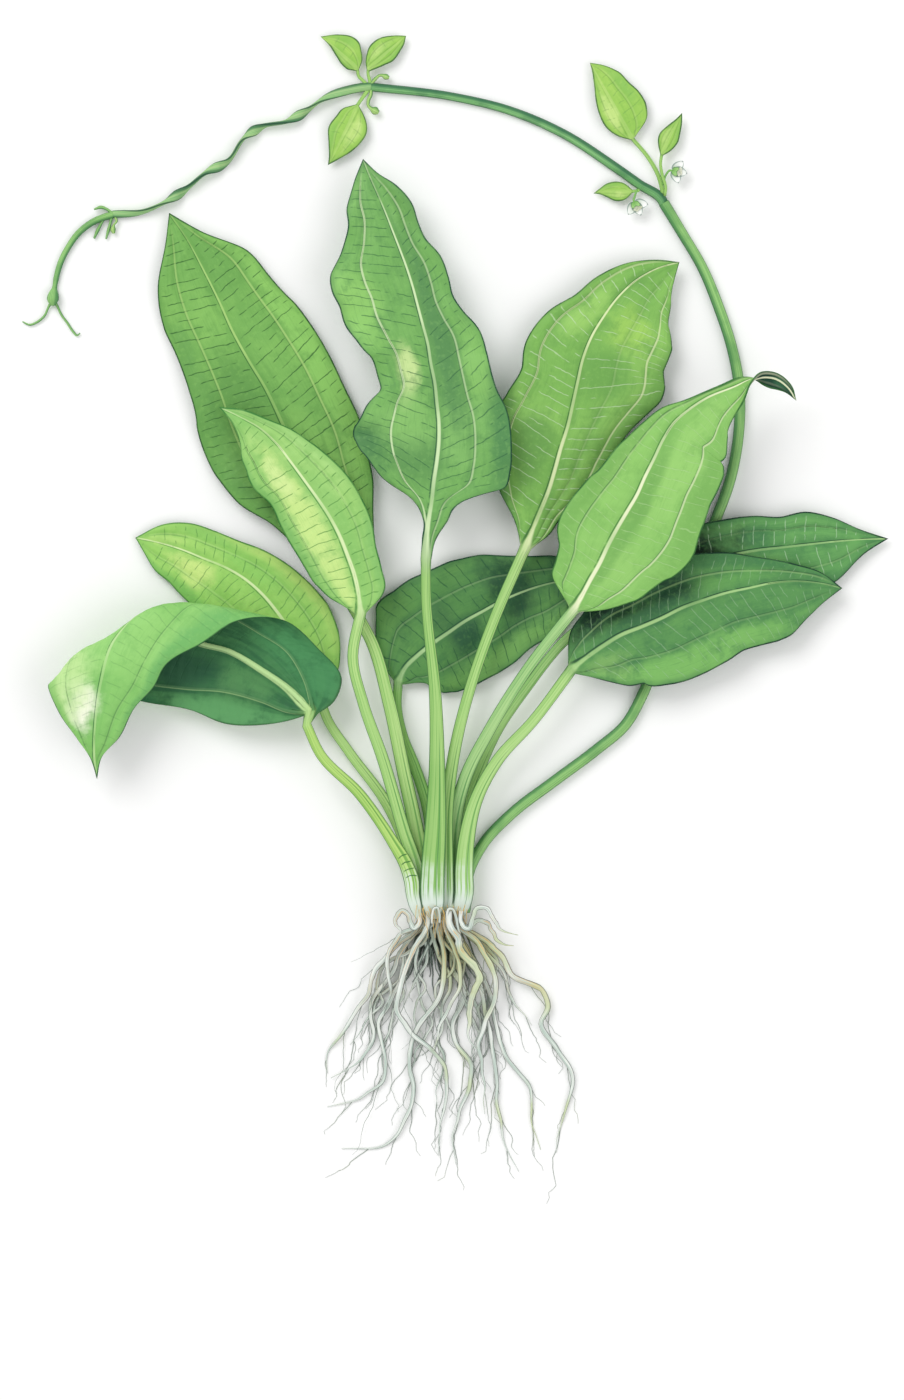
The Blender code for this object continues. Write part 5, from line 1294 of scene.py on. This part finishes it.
def flower(name, rows, white, green, yellow):
    """A half open flower on its stalk: petals, sepals behind them and a knot of stamens."""
    pieces = []
    foot = np.array(rows[3][:3])
    head = np.array(rows[-1][:3]) - foot
    head /= np.linalg.norm(head)
    across = np.array((-head[1], head[0], 0.0))

    def add_part(part, finish):
        part.data.materials.append(finish)
        pieces.append(part)

    def towards(lean):
        return math.cos(lean) * head + math.sin(lean) * across

    add_part(tube(name + " stalk", rod_rows([row[:3] + (0.55,) for row in rows[:4]]), 16, 8), green)
    for k, lean in enumerate((-1.05, 0.0, 1.05)):
        start = foot + head * 0.6
        add_part(petal(f"{name} petal {k}", start, towards(lean), 6.6, 5.4, -0.5, 0.9), white)
    for k, lean in enumerate((-0.8, 0.55)):
        start = foot - head * 0.2 + (0, 0, 0.5)
        add_part(petal(f"{name} sepal {k}", start, towards(lean), 3.4, 2.8, -0.4, 1.2), green)
    chance = np.random.RandomState(5)
    stamens = 9
    for k in range(stamens):
        way = towards(-0.7 + 1.4 * k / (stamens - 1))
        start = foot + head * 0.8 + (0, 0, 0.9)
        end = start + way * (2.6 + 0.6 * chance.rand()) + (0, 0, 0.5 + 0.4 * chance.rand())
        middle = (start + end) / 2 + (0, 0, 0.15)
        rods = [(*start, 0.12), (*middle, 0.12), (*end, 0.16), (*(end + way * 0.5), 0.3),
                (*(end + way * 0.9), 0.1)]
        add_part(tube(f"{name} stamen {k}", rod_rows(rods), 9, 6), yellow)
    return join(name, pieces)


def large_leaf(name, stalk, blade, cup=0.0, flipped=False):
    """A large leaf with a finish of its own."""
    looks = dict(LOOKS[name])
    slot = looks.pop("slot")
    waves = looks.pop("waves", ())
    veins = [vein[0] for vein in looks["veins"]]
    piece = leaf_skin(name, stalk, blade, cup, waves, flipped, veins=veins)
    fit(piece, leaf_finish(name + " finish", **looks), slot, name)


scape_green = stem_finish("scape green", "79B164", "9ACB7C", "4A8A50", "275A3A")
# the middle of the flower stalk: a darker green, with painted shade over most of one side
scape_dark_and_shaded = stem_finish("scape dark green, painted shade", "5E9F5C", "8DC582", "276246", "1B4A35",
                         shaded=0.9, side=-1.0)
twist_green = stem_finish("twisted scape green", "7DB873", "A5C888", "2F6B45", "1F4D38",
                          streak=6.0, side=-1.0)
root_pale = root_finish("root pale", "EDF1EA", "B9CBC0", "C3D08E", "3A463E", 0.95)
root_second = root_finish("thinner root", "E2E8DF", "A9BCB0", "B9C690", "434F47", 0.9)
root_thread = root_finish("root thread", "A5B0A6", "7F8B81", "98A384", "5F6A62", 0.3)
# dark grey threads: partly fine roots, partly painted shadow in the gaps between the upper roots
dark_thread_finish_painted_shadow = root_finish("dark root threads, painted shadow", "7D8B83", "4B5851", "69745C", "3C4741", 0.2)
root_gold = root_finish("root gold", "F0D692", "DDAF5A", "E9E0B8", "A88642", 0.4)
crown_pale = crown_finish("crown pale")
petal_white = petal_finish("petal white", "F6F8F4", "C4D6BE", "6F8C80")
sepal_green = petal_finish("sepal green", "9CC97A", "6FAE52", "2F6B45")
stamen_pale = plain_finish("stamen pale", "E4E8C8", "F2F4E2", "A9B58A")
bud_green = stem_finish("bud green", "93C566", "BADB8A", "5A9A52", "2F6638")

for name, leaf in LEAVES.items():
    large_leaf(name, **leaf)
large_leaf("leaf_j", FOLDED_STALK, FOLDED_BLADE, flipped=True)

young = leaf_finish("young leaf finish", **LOOKS["young"])
for name, (stalk, blade) in PLANTLETS.items():
    piece = leaf_skin(name, stalk, blade, 0.0, rows_scale=0.3, veins=(0.5, -0.5), relief=0.35, sunk=0.0)
    fit(piece, young, "leaf_young", name)

for name, rows, rings, sides, finish in (
        ("scape_lower", rod_rows(SCAPE_LOWER), 240, 20, scape_green),
        ("scape_middle", rod_rows(SCAPE_MIDDLE), 110, 16, scape_dark_and_shaded),
        ("scape_twisted", SCAPE_TWISTED, 200, 20, twist_green),
        ("scape_tip", rod_rows(SCAPE_TIP), 70, 14, scape_green)):
    fit(tube(name, rows, rings, sides), finish, "scape", name)

for name, rows in SMALL_STEMS.items():
    if "flower" in name:
        fit(flower(name, rows, petal_white, sepal_green, stamen_pale), None, "flower", name)
    elif "bud" in name:
        fit(tube(name, rod_rows(rows), 30, 10), bud_green, "leaf_young", name)
    else:
        fit(tube(name, rod_rows(rows), 30, 10), scape_green, "scape", name)

fit(crown_lump("crown"), crown_pale, "crown", "crown")

chance = np.random.RandomState(11)
carriers = []
for number, (thick, thin, route) in enumerate(ROOTS, start=1):
    rows = root_rows(chance, thick, thin, route)
    name = f"root_{number:02d}"
    fit(tube(name, rows, 6 * len(route) + 10, 12), root_pale, "root", name)
    if number <= LAST_LONG_ROOT:
        carriers.append(rows[len(rows) // 4:-len(rows) // 12, :3])
thinner = []
for thick, thin, route in second_roots(chance, 14):
    rows = root_rows(chance, thick, thin, route)
    thinner.append(tube("thinner root", rows, 5 * len(route), 8))
    carriers.append(rows[len(rows) // 2:-2, :3])
fit(join("thinner_roots", thinner), root_second, "root")
arches = [tube("arch", rod_rows(rows), 24, 10) for rows in ARCHES]
fit(join("crown_arches", arches), root_pale, "root")

side_roots = rootlet_tree()
fit(grow_side_roots("root_threads", side_roots, carriers, {
    "Spacing": 0.016, "Shortest": 0.014, "Longest": 0.044, "Radius": 0.00017, "Spread": 0.30, "Follow": 0.7,
    "Wander": 0.010, "Ripple": 75.0, "Seed": 4, "Finish": root_thread}), None, "root")
# Dark threads packed under the crown: fine roots, and painted shadow between the upper roots
below = [[(-10.0, -6.0, z), (-3.0, -6.5, z), (3.0, -6.5, z), (10.0, -6.0, z)] for z in (2.4, 4.4, 6.4)]
fit(grow_side_roots("dark_root_threads_painted_shadow", side_roots, below, {
    "Spacing": 0.0008, "Shortest": 0.014, "Longest": 0.040, "Radius": 0.0005, "Spread": 0.42, "Follow": 0.0,
    "Wander": 0.006, "Ripple": 50.0, "Seed": 9, "Finish": dark_thread_finish_painted_shadow}), None, "root")
hem = [(x, 2.4 * math.sin(2.1 * x) - 1.8, 22.6 if x < 2 else 18.8) for x in np.linspace(-11.5, 13.5, 26)]
front = [(-12.0, -4.0, 12.0), (-4.0, -5.0, 16.6), (4.0, -5.0, 16.6), (12.0, -4.0, 12.0)]
fit(grow_side_roots("crown_fibres", side_roots, [hem, front], {
    "Spacing": 0.0024, "Shortest": 0.004, "Longest": 0.014, "Radius": 0.00018, "Spread": 0.32, "Follow": 0.0,
    "Wander": 0.003, "Ripple": 120.0, "Seed": 2, "Finish": root_gold}), None, "root")


# ---------------------------------------------------------------- floor, light and camera

def make_floor(side=3.0):
    """A pale level surface that the plant lies on."""
    corners = [(-side, -side, 0), (side, -side, 0), (side, side, 0), (-side, side, 0)]
    mesh = bpy.data.meshes.new("floor")
    mesh.from_pydata(corners, [], [(0, 1, 2, 3)])
    floor = add_object("floor", mesh)
    paper = bpy.data.materials.new("floor pale")
    paper.use_nodes = True
    shader = paper.node_tree.nodes["Principled BSDF"]
    shader.inputs["Base Color"].default_value = (0.985, 0.985, 0.98, 1.0)
    shader.inputs["Roughness"].default_value = 0.9
    mesh.materials.append(paper)


def add_light(name, place, size, power):
    """A round lamp that looks at the middle of the plant."""
    data = bpy.data.lights.new(name, "AREA")
    data.shape = "DISK"
    data.size = size
    data.energy = power
    lamp = add_object(name, data)
    lamp.location = place
    lamp.rotation_euler = (MIDDLE - Vector(place)).to_track_quat("-Z", "Y").to_euler()


MIDDLE = Vector((0.0, 0.12, 0.0))
make_floor()
add_light("key", (-1.6, 2.0, 2.6), 2.2, 52.0)
add_light("fill", (1.8, -0.6, 2.2), 2.4, 18.0)
world = bpy.data.worlds.new("studio")
world.use_nodes = True
sky = world.node_tree.nodes["Background"]
sky.inputs["Color"].default_value = (1.0, 1.0, 1.0, 1.0)
sky.inputs["Strength"].default_value = 0.68
bpy.context.scene.world = world
bpy.context.scene.view_settings.view_transform = "Standard"

LENS = 150.0
SENSOR = 36.0
VIEW_HEIGHT = 0.700  # metres that the view spans, from bottom to top
lens = bpy.data.cameras.new("camera")
lens.lens = LENS
lens.sensor_width = SENSOR
lens.sensor_height = SENSOR
lens.sensor_fit = "VERTICAL"
lens.clip_end = 20.0
camera = add_object("camera", lens)
camera.location = (0.006, 0.1025, 0.015 + VIEW_HEIGHT * LENS / SENSOR)
bpy.context.scene.camera = camera
